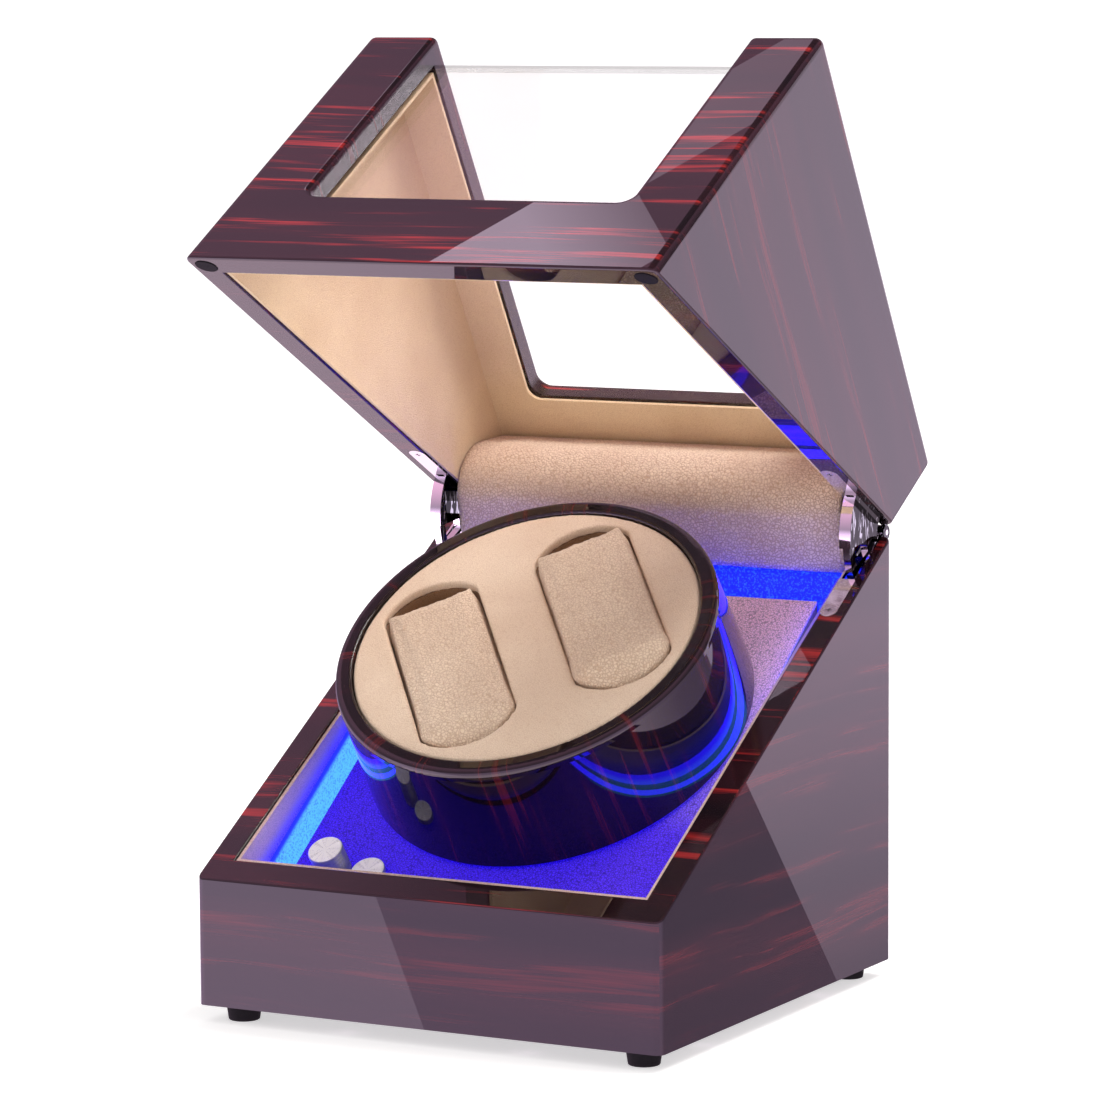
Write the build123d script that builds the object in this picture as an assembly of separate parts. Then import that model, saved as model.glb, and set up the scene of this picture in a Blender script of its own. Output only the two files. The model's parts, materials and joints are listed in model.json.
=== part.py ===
from build123d import *
import math
import os

# Watch winder box with a glazed lid, a tilted floor and a geared turntable for two watches.
# Millimetres, +Z up. The origin is the centre of the box's footprint on the surface it stands on,
# +Y points to the back, and the lid is drawn open, resting on its hinge stop.

# ---------------------------------------------------------------- driving dimensions
BOX_W = 180.0            # outside width and depth of the square box
BOX_D = 180.0
BOX_H = 191.0            # closed height without the feet
FOOT_H = 6.0
WALL = 10.0              # lacquered wood walls of base and lid
LINING = 1.2             # lining board with its fabric
FRONT_RIM = 44.3         # height of the base rim at the front face, above the box's underside
BACK_RIM = 153.1         # and at the back face
LID_GAP = 0.4            # between the rims when the lid is closed
LID_OPEN = 60.0          # degrees
HINGE_Y = 93.4
HINGE_Z = 159.5
BOTTOM_T = 5.0

FLOOR_TILT = 35.9        # degrees
FLOOR_Y = 8.5            # the spindle axis meets the floor's surface here
FLOOR_Z = 95.4
FLOOR_HALF_W = 72.0
FLOOR_FRONT_Y = -78.6
FLOOR_BACK_Y = 66.0
FLOOR_T = 5.0
SKIN = 0.8               # leatherette on a board
GLOW_TOP = 5.0           # the upper linings stop this far above the floor's surface
GLOW_DEPTH = 22.0
STRIP_T = 0.6            # lit strips below them
LINING_DROP = 0.9        # linings stop this far below the rims

DRUM_TOP_R = 69.4
DRUM_FOOT_R = 70.8
DRUM_WALL = 3.0
DRUM_FOOT = 1.2          # running gap over the floor
BOARD_TOP = 41.0         # heights above the floor, along the spindle
FACE_TOP = 44.5
RING_TOP = 45.2
FACE_R = 62.8
TURN = 36.0              # degrees that the turntable stands turned at rest
SLOT_PITCH = 56.4
SLOT_W = 35.0
SLOT_L = 90.0
SLOT_SIDE = 70.0         # straight part of a slot's long side
CUP_WALL = 1.2
CUP_FLOOR = 10.2
PILLOW_W = 30.0
PILLOW_HEAD = 35.0       # distance of its straight upper end from the slot's centre
PILLOW_TOP = 46.0
PILLOW_PROUD = {"left": 0.0, "right": 2.0}     # how much higher each pillow sits in its cup
CORE_COVER = 8.0         # foam and leatherette over the pillow's core

WINDOW_HALF_W = 62.3
WINDOW_SILL = 85.5       # above the box's underside
WINDOW_BACK_Y = 60.5
PANE_T = 2.0
PANE_LAP = 5.0

GEAR_MODULE = 0.8
OUTPUT_TEETH = 60
IDLER_TEETH = 48
PINION_TEETH = 12
BACKLASH = 0.16
MOTOR_ANGLE = -60.0      # direction of the motor from the idler, degrees
OUTPUT_W = (-14.5, -10.5)    # heights of each wheel, along the spindle
IDLER_PINION_W = (-15.0, -10.0)
IDLER_WHEEL_W = (-20.5, -16.5)
MOTOR_PINION_W = (-21.0, -16.0)
SPINDLE_R = 4.0
SPINDLE_LOW_R = 2.5
IDLER_PIN_R = 1.5
MOTOR_SHAFT_R = 1.0
BUSH_R = 6.0
PLATE_LOW = (-25.0, -23.0)
PILLARS = [(-22.0, -20.0), (-22.0, 20.0), (56.0, 10.0), (20.0, -32.0)]
PLATE_SCREWS = [(-24.0, 0.0), (58.0, -8.0), (10.0, -34.0), (30.0, 22.0)]
RUNNING_FIT = 0.05

LEAF_W = 6.4
LEAF_T = 1.4
LEAF_L = 50.7            # from the hinge axis to the leaf's rounded end
KNUCKLE_R = 2.6
FAN_R = 28.4
FAN_ANGLE = 35.0
HINGE_X = 83.2

KNOB_R = 6.3
KNOB_H = 12.0
BUTTON_H = 4.0
BUTTON_TRAVEL = 1.2
STEM_R = 2.0
SWITCH_NECK_R = 3.5
MODE_PLACE = (-54.7, -79.0)              # knob and button, across and up the floor's slope
BUTTON_PLACE = (-40.4, -79.6)

INLET_R = 5.5
INLET_X = -50.0
INLET_Z = 32.0

TAPE_W = 8.0             # light tape and its chips
TAPE_T = 0.5
CHIP = 5.0
CHIP_T = 1.5
CHIP_PITCH = 16.6

CURTAIN_T = 0.9
CURTAIN_HALF_W = 78.4

WOOD_SHANK_R = 1.1       # countersunk wood screws
WOOD_HEAD_R = 2.3
PILOT_R = 1.15

# places of fixings, x and y
PANEL_SCREWS = [(x, y) for x in (-82.5, 82.5) for y in (-45.0, 45.0)]
PANEL_SCREWS += [(x, y) for x in (-35.0, 35.0) for y in (-82.5, 82.5)]
FOOT_PLACES = [(x, y) for x in (-78.0, 78.0) for y in (-79.0, 79.0)]
FLOOR_SCREWS = [(x, y) for x in (-69.0, 69.0) for y in (-62.0, 46.0)]
BOARD_HOLES = [(x, y) for x in (-43.0, 1.0) for y in (-37.0, -7.0)]

# ---------------------------------------------------------------- derived values
HALF_W = BOX_W / 2
HALF_D = BOX_D / 2
BASE_Z = FOOT_H
TOP_Z = BASE_Z + BOX_H
INNER = HALF_W - WALL
LINED = INNER - LINING
CEILING = TOP_Z - WALL
PANEL_TOP = BASE_Z + BOTTOM_T
RIM_SLOPE = (BACK_RIM - FRONT_RIM) / BOX_D
RIM_TILT = math.atan(RIM_SLOPE)
TILT = math.radians(FLOOR_TILT)
BOARD_UNDER = -(SKIN + FLOOR_T)
CHEEK = (FLOOR_HALF_W - 6.0, FLOOR_HALF_W)       # inner and outer face of each cheek
BULKHEAD = (FLOOR_BACK_Y - 6.0, FLOOR_BACK_Y)    # front and back face
TAPE_TOP = BOARD_UNDER - 0.5
PLATE_TOP = (BOARD_UNDER - 2.0, BOARD_UNDER)
CORE_TOP = PILLOW_TOP - CORE_COVER
ENDLESS = 400.0          # longer than anything that it cuts

HINGE_AXIS = Axis((0, HINGE_Y, HINGE_Z), (1, 0, 0))
# side views are drawn with y to the right and z up, and extruded across the box
SIDE_PLANE = Plane(origin=(0, 0, 0), x_dir=(0, 1, 0), z_dir=(1, 0, 0))
# the same, turned with the rim: x runs up the rim's slope from the hinge axis, y away from the rim
RIM_PLANE = Plane(
    origin=(0, HINGE_Y, HINGE_Z),
    x_dir=(0, math.cos(RIM_TILT), math.sin(RIM_TILT)),
    z_dir=(1, 0, 0),
)
# the floor's surface: x across, y up the slope, z up the spindle
FLOOR_PLANE = Plane(
    origin=(0, FLOOR_Y, FLOOR_Z),
    x_dir=(1, 0, 0),
    z_dir=(0, -math.sin(TILT), math.cos(TILT)),
)
FLOOR = FLOOR_PLANE.location
TABLE = FLOOR * Rot(0, 0, TURN)      # turned with the turntable, x across its two slots

nodes = {}


def polar(radius, degrees):
    """A point at an angle from the local x axis."""
    return (radius * math.cos(math.radians(degrees)), radius * math.sin(math.radians(degrees)))


HUB_SCREWS = [polar(13.0, angle) for angle in (90, 210, 330)]
IDLER_X = GEAR_MODULE * (OUTPUT_TEETH + PINION_TEETH) / 2
MOTOR_OFFSET = polar(GEAR_MODULE * (IDLER_TEETH + PINION_TEETH) / 2, MOTOR_ANGLE)
MOTOR_PLACE = (IDLER_X + MOTOR_OFFSET[0], MOTOR_OFFSET[1])


def rim_z(y, lift=0.0):
    """Height of the base rim at y, moved off the rim's plane by lift."""
    return BASE_Z + FRONT_RIM + RIM_SLOPE * (y + HALF_D) + lift / math.cos(RIM_TILT)


def floor_z(y, lift=0.0):
    """Height of the floor's surface at y, moved off its plane by lift."""
    return FLOOR_Z + math.tan(TILT) * (y - FLOOR_Y) + lift / math.cos(TILT)


def side_profile(points, x_from, x_to):
    """A closed outline of (y, z) points, extruded from x_from to x_to."""
    face = SIDE_PLANE * make_face(Polyline(*points, close=True))
    return Pos(min(x_from, x_to), 0, 0) * extrude(face, abs(x_to - x_from), dir=(1, 0, 0))


def rim_profile(sketch, x_from, x_to):
    """A sketch in the rim's side view, extruded from x_from to x_to."""
    return Pos(min(x_from, x_to), 0, 0) * extrude(RIM_PLANE * sketch, abs(x_to - x_from), dir=(1, 0, 0))


def block(x, y, z):
    """A box between two limits on each axis."""
    size = (x[1] - x[0], y[1] - y[0], z[1] - z[0])
    return Pos((x[0] + x[1]) / 2, (y[0] + y[1]) / 2, (z[0] + z[1]) / 2) * Box(*size)


def disc(radius, z_from, z_to, x=0.0, y=0.0):
    """An upright cylinder between two heights."""
    return Pos(x, y, (z_from + z_to) / 2) * Cylinder(radius, z_to - z_from)


def tube(outer, inner, z_from, z_to, x=0.0, y=0.0):
    """An upright tube between two heights."""
    return disc(outer, z_from, z_to, x, y) - disc(inner, z_from - 1, z_to + 1, x, y)


def opened(shape):
    """Swings a piece of the lid from its closed place to the open stop."""
    return shape.rotate(HINGE_AXIS, -LID_OPEN)


def countersunk_blank(length):
    """A countersunk screw without its recess, or the seat that it fills; its top is at the origin."""
    head_h = WOOD_HEAD_R - WOOD_SHANK_R
    head = Pos(0, 0, -head_h / 2) * Cone(WOOD_SHANK_R, WOOD_HEAD_R, head_h)
    return head + disc(WOOD_SHANK_R, -length, -head_h)


def countersunk_screw(length):
    """A cross-recessed screw, its head's top at the origin and its shank along -z."""
    slot = 0.45 * WOOD_SHANK_R
    cross = Box(2 * WOOD_SHANK_R, slot, 1.2) + Box(slot, 2 * WOOD_SHANK_R, 1.2)
    return countersunk_blank(length) - cross


def pan_screw(length, shank_r=1.25, head_r=2.5, head_h=1.5):
    """A cross-recessed screw whose head sits on top of the origin."""
    body = disc(head_r, 0, head_h) + disc(shank_r, -length, 0)
    slot = 0.45 * shank_r
    cross = Box(2 * shank_r, slot, 1.0) + Box(slot, 2 * shank_r, 1.0)
    return body - Pos(0, 0, head_h) * cross


def group(pieces):
    """Identical separate solids in one node."""
    return Compound([solid for piece in pieces for solid in piece.solids()])


# ---------------------------------------------------------------- hinges
RIM_OFFSET = (rim_z(HINGE_Y) - HINGE_Z) * math.cos(RIM_TILT)      # rim plane above the hinge axis
LID_FACE = RIM_OFFSET + LID_GAP
LEAF_SCREW_S = -(LEAF_L - 3.6)


def leaf_outline(grow=0.0, tail=-3.4):
    """Plan of a leaf, x across it and y up the slope: a strip with a round front end."""
    half = LEAF_W / 2 + grow
    strip = Pos(0, (-LEAF_L + LEAF_W / 2 + tail) / 2) * Rectangle(2 * half, LEAF_L - LEAF_W / 2 + tail)
    return strip + Pos(0, -LEAF_L + LEAF_W / 2) * Circle(half)


def leaf_slab(side, low, high, grow=0.0, tail=-3.4):
    """A leaf's plan as a slab lying along the rim, between two distances off the hinge axis."""
    plane = Plane(origin=(side * HINGE_X, HINGE_Y, HINGE_Z), x_dir=(1, 0, 0), z_dir=RIM_PLANE.y_dir)
    return extrude(plane.offset(low) * leaf_outline(grow, tail), high - low)


def sector(radius, inner, start, end):
    """A ring sector in the rim's side view; angles are measured up from the rim towards the front."""
    middle = (start + end) / 2
    wedge = Polyline(
        (0, 0),
        polar(ENDLESS, 180 - start),
        polar(ENDLESS, 180 - middle),
        polar(ENDLESS, 180 - end),
        close=True,
    )
    ring = Circle(radius)
    if inner > 0:
        ring -= Circle(inner)
    return ring & make_face(wedge)


def hinge_base_leaf(side):
    """Leaf screwed to the base rim, with the middle knuckle and the inner fan plate."""
    leaf = leaf_slab(side, RIM_OFFSET - LEAF_T, RIM_OFFSET)
    slot = rim_profile(Pos(-17.6, RIM_OFFSET) * Rectangle(23.6, 4), side * 80.8, side * 85.6)
    x = (side * 81.8, side * 84.6)
    knuckle = rim_profile(Circle(KNUCKLE_R) - Circle(1.0), *x)
    bridge = rim_profile(Pos(-3.2, RIM_OFFSET - LEAF_T / 2) * Rectangle(3.0, LEAF_T), *x)
    bridge -= rim_profile(Circle(KNUCKLE_R - 0.2), *x)
    fan = rim_profile(sector(FAN_R - 1.1, KNUCKLE_R - 0.1, -1.0, FAN_ANGLE), side * 81.9, side * 84.5)
    window = rim_profile(sector(FAN_R - 5.0, 13.0, 6.0, FAN_ANGLE - 9.0), side * 81.9, side * 84.5)
    hole = screw_place(side, RIM_OFFSET) * countersunk_blank(10)
    return leaf - slot + knuckle + bridge + (fan - window) - hole


def hinge_lid_leaf(side):
    """Leaf screwed to the lid rim, with the outer knuckles and the channel that takes the fan plate."""
    leaf = leaf_slab(side, LID_FACE, LID_FACE + LEAF_T)
    slot = rim_profile(Pos(-16.2, LID_FACE) * Rectangle(26.0, 4), side * 81.7, side * 84.7)
    arms = []
    for x in ((80.0, 81.5), (84.9, 86.4)):
        ends = (side * x[0], side * x[1])
        knuckle = rim_profile(Circle(KNUCKLE_R) - Circle(1.0 + RUNNING_FIT), *ends)
        web = rim_profile(Pos(-2.3, LID_FACE + LEAF_T / 2) * Rectangle(3.6, LEAF_T), *ends)
        arms.append(knuckle + (web - rim_profile(Circle(KNUCKLE_R - 0.2), *ends)))
    below = Pos(-ENDLESS / 2, LID_FACE - ENDLESS / 2) * Rectangle(ENDLESS, ENDLESS)
    under_leaf = rim_profile(below, 0, side * HALF_W)
    channel = rim_profile(sector(FAN_R, FAN_R - 0.7, -FAN_ANGLE, 8.0), side * 81.0, side * 85.4)
    for x in ((81.0, 81.7), (84.7, 85.4)):
        channel += rim_profile(sector(FAN_R, 6.2, -FAN_ANGLE, 20.0), side * x[0], side * x[1])
    channel &= under_leaf
    hole = screw_place(side, LID_FACE, down=False) * countersunk_blank(10)
    return leaf - slot + arms[0] + arms[1] + channel - hole


def screw_place(side, height, down=True):
    """Place of a leaf screw: origin on the leaf's face, +z out of it."""
    plane = Plane(origin=(side * HINGE_X, HINGE_Y, HINGE_Z), x_dir=(1, 0, 0), z_dir=RIM_PLANE.y_dir)
    place = plane.location * Pos(0, LEAF_SCREW_S, height)
    return place if down else place * Rot(180, 0, 0)


def hinge_pocket(side, upper):
    """Room in a side wall for the other leaf's fan, with the mortise for the leaf itself."""
    if upper:
        leaf = leaf_slab(side, LID_FACE - 0.5, LID_FACE + LEAF_T, tail=3.0)
        fan = sector(FAN_R - 0.2, 0.0, 0.0, FAN_ANGLE + 2)
    else:
        leaf = leaf_slab(side, RIM_OFFSET - LEAF_T, RIM_OFFSET + 0.5, tail=3.0)
        fan = sector(FAN_R + 1.0, 0.0, -FAN_ANGLE - 2, 20.0)
    return leaf + rim_profile(fan, side * (INNER - 0.1), side * 85.9)


for side, hand in ((-1, "left"), (1, "right")):
    nodes[f"hinge_base_leaf_{hand}"] = hinge_base_leaf(side)
    nodes[f"hinge_lid_leaf_{hand}"] = opened(hinge_lid_leaf(side))
nodes["hinge_pins"] = group([rim_profile(Circle(1.0), side * 79.9, side * 86.5) for side in (-1, 1)])
nodes["hinge_screws_lid"] = group(
    [opened(screw_place(side, LID_FACE, down=False) * countersunk_screw(9)) for side in (-1, 1)]
)
# the base's screws are collected by type and written as two groups at the end
countersunk = [screw_place(side, RIM_OFFSET) * countersunk_screw(9) for side in (-1, 1)]
pan_headed = []


# ---------------------------------------------------------------- wooden base
def base_case():
    """Four walls under the sloping rim, rebated below for the bottom panel."""
    outline = [
        (-HALF_D, BASE_Z),
        (HALF_D, BASE_Z),
        (HALF_D, rim_z(HALF_D)),
        (-HALF_D, rim_z(-HALF_D)),
    ]
    case = side_profile(outline, -HALF_W, HALF_W)
    case = fillet(case.edges().filter_by(Axis.Z), 3.0)
    case -= block((-INNER, INNER), (-INNER, INNER), (0, ENDLESS))
    rim_edges = [e for e in case.edges() if abs(e.center().Z - rim_z(e.center().Y)) < 0.01]
    rim_edges = [e for e in rim_edges if abs((e @ 0).Z - rim_z((e @ 0).Y)) < 0.01]
    case = fillet(rim_edges, 0.8)
    case -= block((-85, 85), (-85, 85), (0, PANEL_TOP))
    for side in (-1, 1):
        case -= hinge_pocket(side, upper=False)
        case -= screw_place(side, RIM_OFFSET) * disc(PILOT_R, -11, 0)
    case -= Pos(INLET_X, INNER, INLET_Z) * Rot(-90, 0, 0) * disc(INLET_R, -2, WALL + 2)
    return case


def bottom_panel():
    """Bottom board, let into the walls and screwed up into them."""
    panel = block((-84.9, 84.9), (-84.9, 84.9), (BASE_Z, PANEL_TOP))
    for x, y in PANEL_SCREWS:
        panel -= Pos(x, y, BASE_Z) * Rot(180, 0, 0) * countersunk_blank(9)
    for x, y in FOOT_PLACES:
        panel -= disc(1.1, 0, PANEL_TOP + 1, x, y)
    return panel


def foot():
    """Tapered rubber foot with a recess for its screw."""
    body = Pos(0, 0, FOOT_H / 2) * Cone(5.4, 6.3, FOOT_H)
    body = fillet(body.edges().sort_by(Axis.Z)[0], 0.6)
    return body - disc(2.8, -1, 2.6) - disc(1.1, 0, FOOT_H + 1)


case = base_case()
for x, y in PANEL_SCREWS:
    case -= disc(PILOT_R, PANEL_TOP - 0.1, PANEL_TOP + 4.5, x, y)
nodes["base_case"] = case
nodes["bottom_panel"] = bottom_panel()
countersunk += [Pos(x, y, BASE_Z) * Rot(180, 0, 0) * countersunk_screw(9) for x, y in PANEL_SCREWS]
nodes["feet"] = group([Pos(x, y, 0) * foot() for x, y in FOOT_PLACES])
pan_headed += [Pos(x, y, 2.6) * Rot(180, 0, 0) * pan_screw(7.4, 1.1) for x, y in FOOT_PLACES]


# ---------------------------------------------------------------- inside the base
def cheek(side):
    """Side board that carries the floor and closes off the motor space."""
    outline = [
        (FLOOR_FRONT_Y, PANEL_TOP),
        (BULKHEAD[0], PANEL_TOP),
        (BULKHEAD[0], floor_z(BULKHEAD[0], BOARD_UNDER)),
        (FLOOR_FRONT_Y, floor_z(FLOOR_FRONT_Y, BOARD_UNDER)),
    ]
    board = side_profile(outline, side * CHEEK[0], side * CHEEK[1])
    for x, y in FLOOR_SCREWS:
        board -= FLOOR * disc(PILOT_R, -14, 0, x, y)
    return board


def bulkhead():
    """Board behind the floor, between the back wall and the motor space."""
    outline = [
        (BULKHEAD[0], PANEL_TOP),
        (BULKHEAD[1], PANEL_TOP),
        (BULKHEAD[1], floor_z(BULKHEAD[1], BOARD_UNDER)),
        (BULKHEAD[0], floor_z(BULKHEAD[0], BOARD_UNDER)),
    ]
    return side_profile(outline, -FLOOR_HALF_W, FLOOR_HALF_W)


def floor_layer(top, bottom):
    """A layer of the sloping floor between two distances off its surface, with its holes."""
    outline = [
        (FLOOR_FRONT_Y, floor_z(FLOOR_FRONT_Y, bottom)),
        (FLOOR_BACK_Y, floor_z(FLOOR_BACK_Y, bottom)),
        (FLOOR_BACK_Y, floor_z(FLOOR_BACK_Y, top)),
        (FLOOR_FRONT_Y, floor_z(FLOOR_FRONT_Y, top)),
    ]
    layer = side_profile(outline, -FLOOR_HALF_W, FLOOR_HALF_W)
    layer -= FLOOR * disc(BUSH_R, -20, 5)
    layer -= FLOOR * disc(SWITCH_NECK_R, -20, 5, *MODE_PLACE)
    layer -= FLOOR * disc(SWITCH_NECK_R, -20, 5, *BUTTON_PLACE)
    return layer


floor_board = floor_layer(-SKIN, BOARD_UNDER)
for x, y in FLOOR_SCREWS:
    floor_board -= FLOOR * Pos(x, y, -SKIN) * countersunk_blank(8)
nodes["floor_board"] = floor_board
nodes["floor_lining"] = floor_layer(0.0, -SKIN)
countersunk += [FLOOR * Pos(x, y, -SKIN) * countersunk_screw(12) for x, y in FLOOR_SCREWS]
nodes["cheek_left"] = cheek(-1)
nodes["cheek_right"] = cheek(1)
nodes["bulkhead"] = bulkhead()


def base_linings():
    """Upper lining boards down to just above the floor, and the thinner lit strips below them."""
    # the light gap runs out into the rim here
    tip = (rim_z(0, -LINING_DROP) - floor_z(0, GLOW_TOP)) / (math.tan(TILT) - RIM_SLOPE)
    strip_back = INNER - STRIP_T
    upper = [
        (-LINED, floor_z(-LINED, GLOW_TOP)),
        (tip, floor_z(tip, GLOW_TOP)),
        (-LINED, rim_z(-LINED, -LINING_DROP)),
    ]
    lower = [
        (-LINED, floor_z(-LINED, GLOW_TOP - GLOW_DEPTH)),
        (strip_back, floor_z(strip_back, GLOW_TOP - GLOW_DEPTH)),
        (strip_back, rim_z(strip_back, -LINING_DROP)),
        (tip, floor_z(tip, GLOW_TOP)),
        (-LINED, floor_z(-LINED, GLOW_TOP)),
    ]
    front = [
        (-INNER, floor_z(-INNER, GLOW_TOP)),
        (-LINED, floor_z(-LINED, GLOW_TOP)),
        (-LINED, rim_z(-LINED, -LINING_DROP)),
        (-INNER, rim_z(-INNER, -LINING_DROP)),
    ]
    boards = [side_profile(upper, side * LINED, side * INNER) for side in (-1, 1)]
    boards.append(side_profile(front, -INNER, INNER))
    strips = [side_profile(lower, side * strip_back, side * INNER) for side in (-1, 1)]
    back_low = floor_z(FLOOR_BACK_Y, GLOW_TOP - GLOW_DEPTH)
    strips.append(block((-LINED, LINED), (strip_back, INNER), (back_low, rim_z(strip_back, -LINING_DROP))))
    nodes["base_linings"] = group(boards)
    nodes["glow_linings"] = group(strips)


base_linings()


# ---------------------------------------------------------------- light tapes
def side_tape(side):
    """Flexible tape on a cheek's outer face, along the floor's edge, and its light chips."""
    start = (FLOOR_FRONT_Y + 8 - FLOOR_Y) / math.cos(TILT)
    end = (BULKHEAD[0] - 4 - FLOOR_Y) / math.cos(TILT)
    face = side * CHEEK[1]
    tape_x = sorted((face, face + side * TAPE_T))
    chip_x = sorted((face + side * TAPE_T, face + side * (TAPE_T + CHIP_T)))
    tape = FLOOR * block(tape_x, (start, end), (TAPE_TOP - TAPE_W, TAPE_TOP))
    count = int((end - start) / CHIP_PITCH)
    middle = TAPE_TOP - TAPE_W / 2
    chips = []
    for i in range(count):
        y = start + CHIP_PITCH * (i + 0.5)
        chip = block(chip_x, (y - CHIP / 2, y + CHIP / 2), (middle - CHIP / 2, middle + CHIP / 2))
        chips.append(FLOOR * chip)
    return group([tape] + chips)


def back_tape():
    """The tape on the bulkhead's back face and its light chips."""
    top = floor_z(BULKHEAD[1], BOARD_UNDER) - 0.5
    tape = block((-62, 62), (BULKHEAD[1], BULKHEAD[1] + TAPE_T), (top - TAPE_W, top))
    chips = []
    for i in range(-3, 4):
        x = i * CHIP_PITCH
        z = top - TAPE_W / 2
        y = BULKHEAD[1] + TAPE_T
        chips.append(block((x - CHIP / 2, x + CHIP / 2), (y, y + CHIP_T), (z - CHIP / 2, z + CHIP / 2)))
    return group([tape] + chips)


nodes["led_tape_left"] = side_tape(-1)
nodes["led_tape_right"] = side_tape(1)
nodes["led_tape_back"] = back_tape()


# ---------------------------------------------------------------- switches on the floor
def switch_body(place):
    """Panel switch under the floor: a square can, a threaded neck through the floor and a thin nut."""
    can = block((-7, 7), (-7, 7), (BOARD_UNDER - 9, BOARD_UNDER))
    neck = disc(SWITCH_NECK_R, BOARD_UNDER, 0.6)
    bore = disc(STEM_R + 2 * RUNNING_FIT, BOARD_UNDER - 7, 2)
    return FLOOR * Pos(*place, 0) * (can + neck - bore)


def mode_knob():
    """Turned metal knob with a fine grip band and its shaft."""
    cap = fillet(disc(KNOB_R, 0.8, KNOB_H).edges().sort_by(Axis.Z)[-1], 0.7)
    grooves = [
        Rot(0, 0, 360 / 36 * i) * Pos(KNOB_R + 0.12, 0, 5.5) * Box(0.5, 0.5, 6.0) for i in range(36)
    ]
    for groove in grooves:
        cap -= groove
    return FLOOR * Pos(*MODE_PLACE, 0) * (cap + disc(STEM_R, BOARD_UNDER - 6, 0.8))


def light_button():
    """Low round push button with its stem."""
    cap = fillet(disc(KNOB_R, BUTTON_TRAVEL + 0.8, BUTTON_H).edges().sort_by(Axis.Z)[-1], 0.6)
    return FLOOR * Pos(*BUTTON_PLACE, 0) * (cap + disc(STEM_R, BOARD_UNDER - 5, BUTTON_TRAVEL + 0.8))


nodes["mode_switch"] = switch_body(MODE_PLACE)
nodes["light_switch"] = switch_body(BUTTON_PLACE)
nodes["mode_knob"] = mode_knob()
nodes["light_button"] = light_button()


# ---------------------------------------------------------------- turntable
def slot_shape(grow=0.0):
    """Plan of one watch slot: straight long sides and bowed ends."""
    half_w = SLOT_W / 2 + grow
    side = SLOT_SIDE / 2
    end = SLOT_L / 2 + grow
    edge = Line((-half_w, -side), (-half_w, side))
    edge += ThreePointArc((-half_w, side), (0, end), (half_w, side))
    edge += Line((half_w, side), (half_w, -side))
    edge += ThreePointArc((half_w, -side), (0, -end), (-half_w, -side))
    shape = make_face(edge)
    return fillet(shape.vertices(), 5.0 + grow)


def slot_tool(z_from, z_to, grow=0.0):
    """Both slots as one solid tool."""
    prism = Pos(0, 0, z_from) * extrude(slot_shape(grow), z_to - z_from)
    return Pos(-SLOT_PITCH / 2, 0, 0) * prism + Pos(SLOT_PITCH / 2, 0, 0) * prism


def drum_shell():
    """Slightly tapered drum with a closed bottom."""
    height = BOARD_TOP - DRUM_FOOT
    outer = Pos(0, 0, (BOARD_TOP + DRUM_FOOT) / 2) * Cone(DRUM_FOOT_R, DRUM_TOP_R, height)
    outer = fillet(outer.edges().sort_by(Axis.Z)[0], 1.0)
    shell = outer - disc(DRUM_TOP_R - DRUM_WALL, DRUM_FOOT + 2.5, BOARD_TOP + 1)
    shell -= disc(8.0, 0, 10)
    for place in HUB_SCREWS:
        shell -= disc(1.25, 0, 10, *place)
    return shell


def rim_ring():
    """Rounded lacquered ring on top of the drum."""
    ring = tube(DRUM_TOP_R, FACE_R + 0.2, BOARD_TOP, RING_TOP)
    top = ring.edges().filter_by(GeomType.CIRCLE).sort_by(Axis.Z)[-2:]
    inner, outer = top.sort_by(SortBy.LENGTH)
    ring = fillet(outer, 2.6)
    inner = ring.edges().filter_by(GeomType.CIRCLE).filter_by(lambda e: e.radius < FACE_R + 1)
    return fillet(inner.sort_by(Axis.Z)[-1], 1.0)


def face_board():
    """Board inside the drum's mouth that carries the two cups."""
    return disc(DRUM_TOP_R - DRUM_WALL - 0.1, BOARD_TOP - 3, BOARD_TOP) - slot_tool(0, 60, CUP_WALL)


def face_pad():
    """Padded leatherette face with softened edges."""
    pad = disc(FACE_R, BOARD_TOP, FACE_TOP)
    pad = fillet(pad.edges().sort_by(Axis.Z)[-1], 1.2)
    return pad - slot_tool(0, 60)


def cup():
    """One lined watch cup, open at the top."""
    outer = Pos(0, 0, CUP_FLOOR - CUP_WALL) * extrude(slot_shape(CUP_WALL), BOARD_TOP - CUP_FLOOR + CUP_WALL)
    return outer - Pos(0, 0, CUP_FLOOR) * extrude(slot_shape(), BOARD_TOP)


def hub():
    """Flanged hub screwed to the drum's bottom and fixed on the spindle."""
    body = disc(18, DRUM_FOOT + 2.5, DRUM_FOOT + 5) + disc(7.9, 0.5, DRUM_FOOT + 2.5)
    body -= disc(SPINDLE_R, 0, 10)
    for place in HUB_SCREWS:
        body -= disc(1.25, 0, 10, *place)
    return body


def spindle():
    """Stepped steel shaft with a groove for its clip."""
    shaft = disc(SPINDLE_R, -21.6, DRUM_FOOT + 5) + disc(SPINDLE_LOW_R, -28, -21.6)
    return shaft - tube(4.0, 2.1, -26.4, -25.6)


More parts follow.
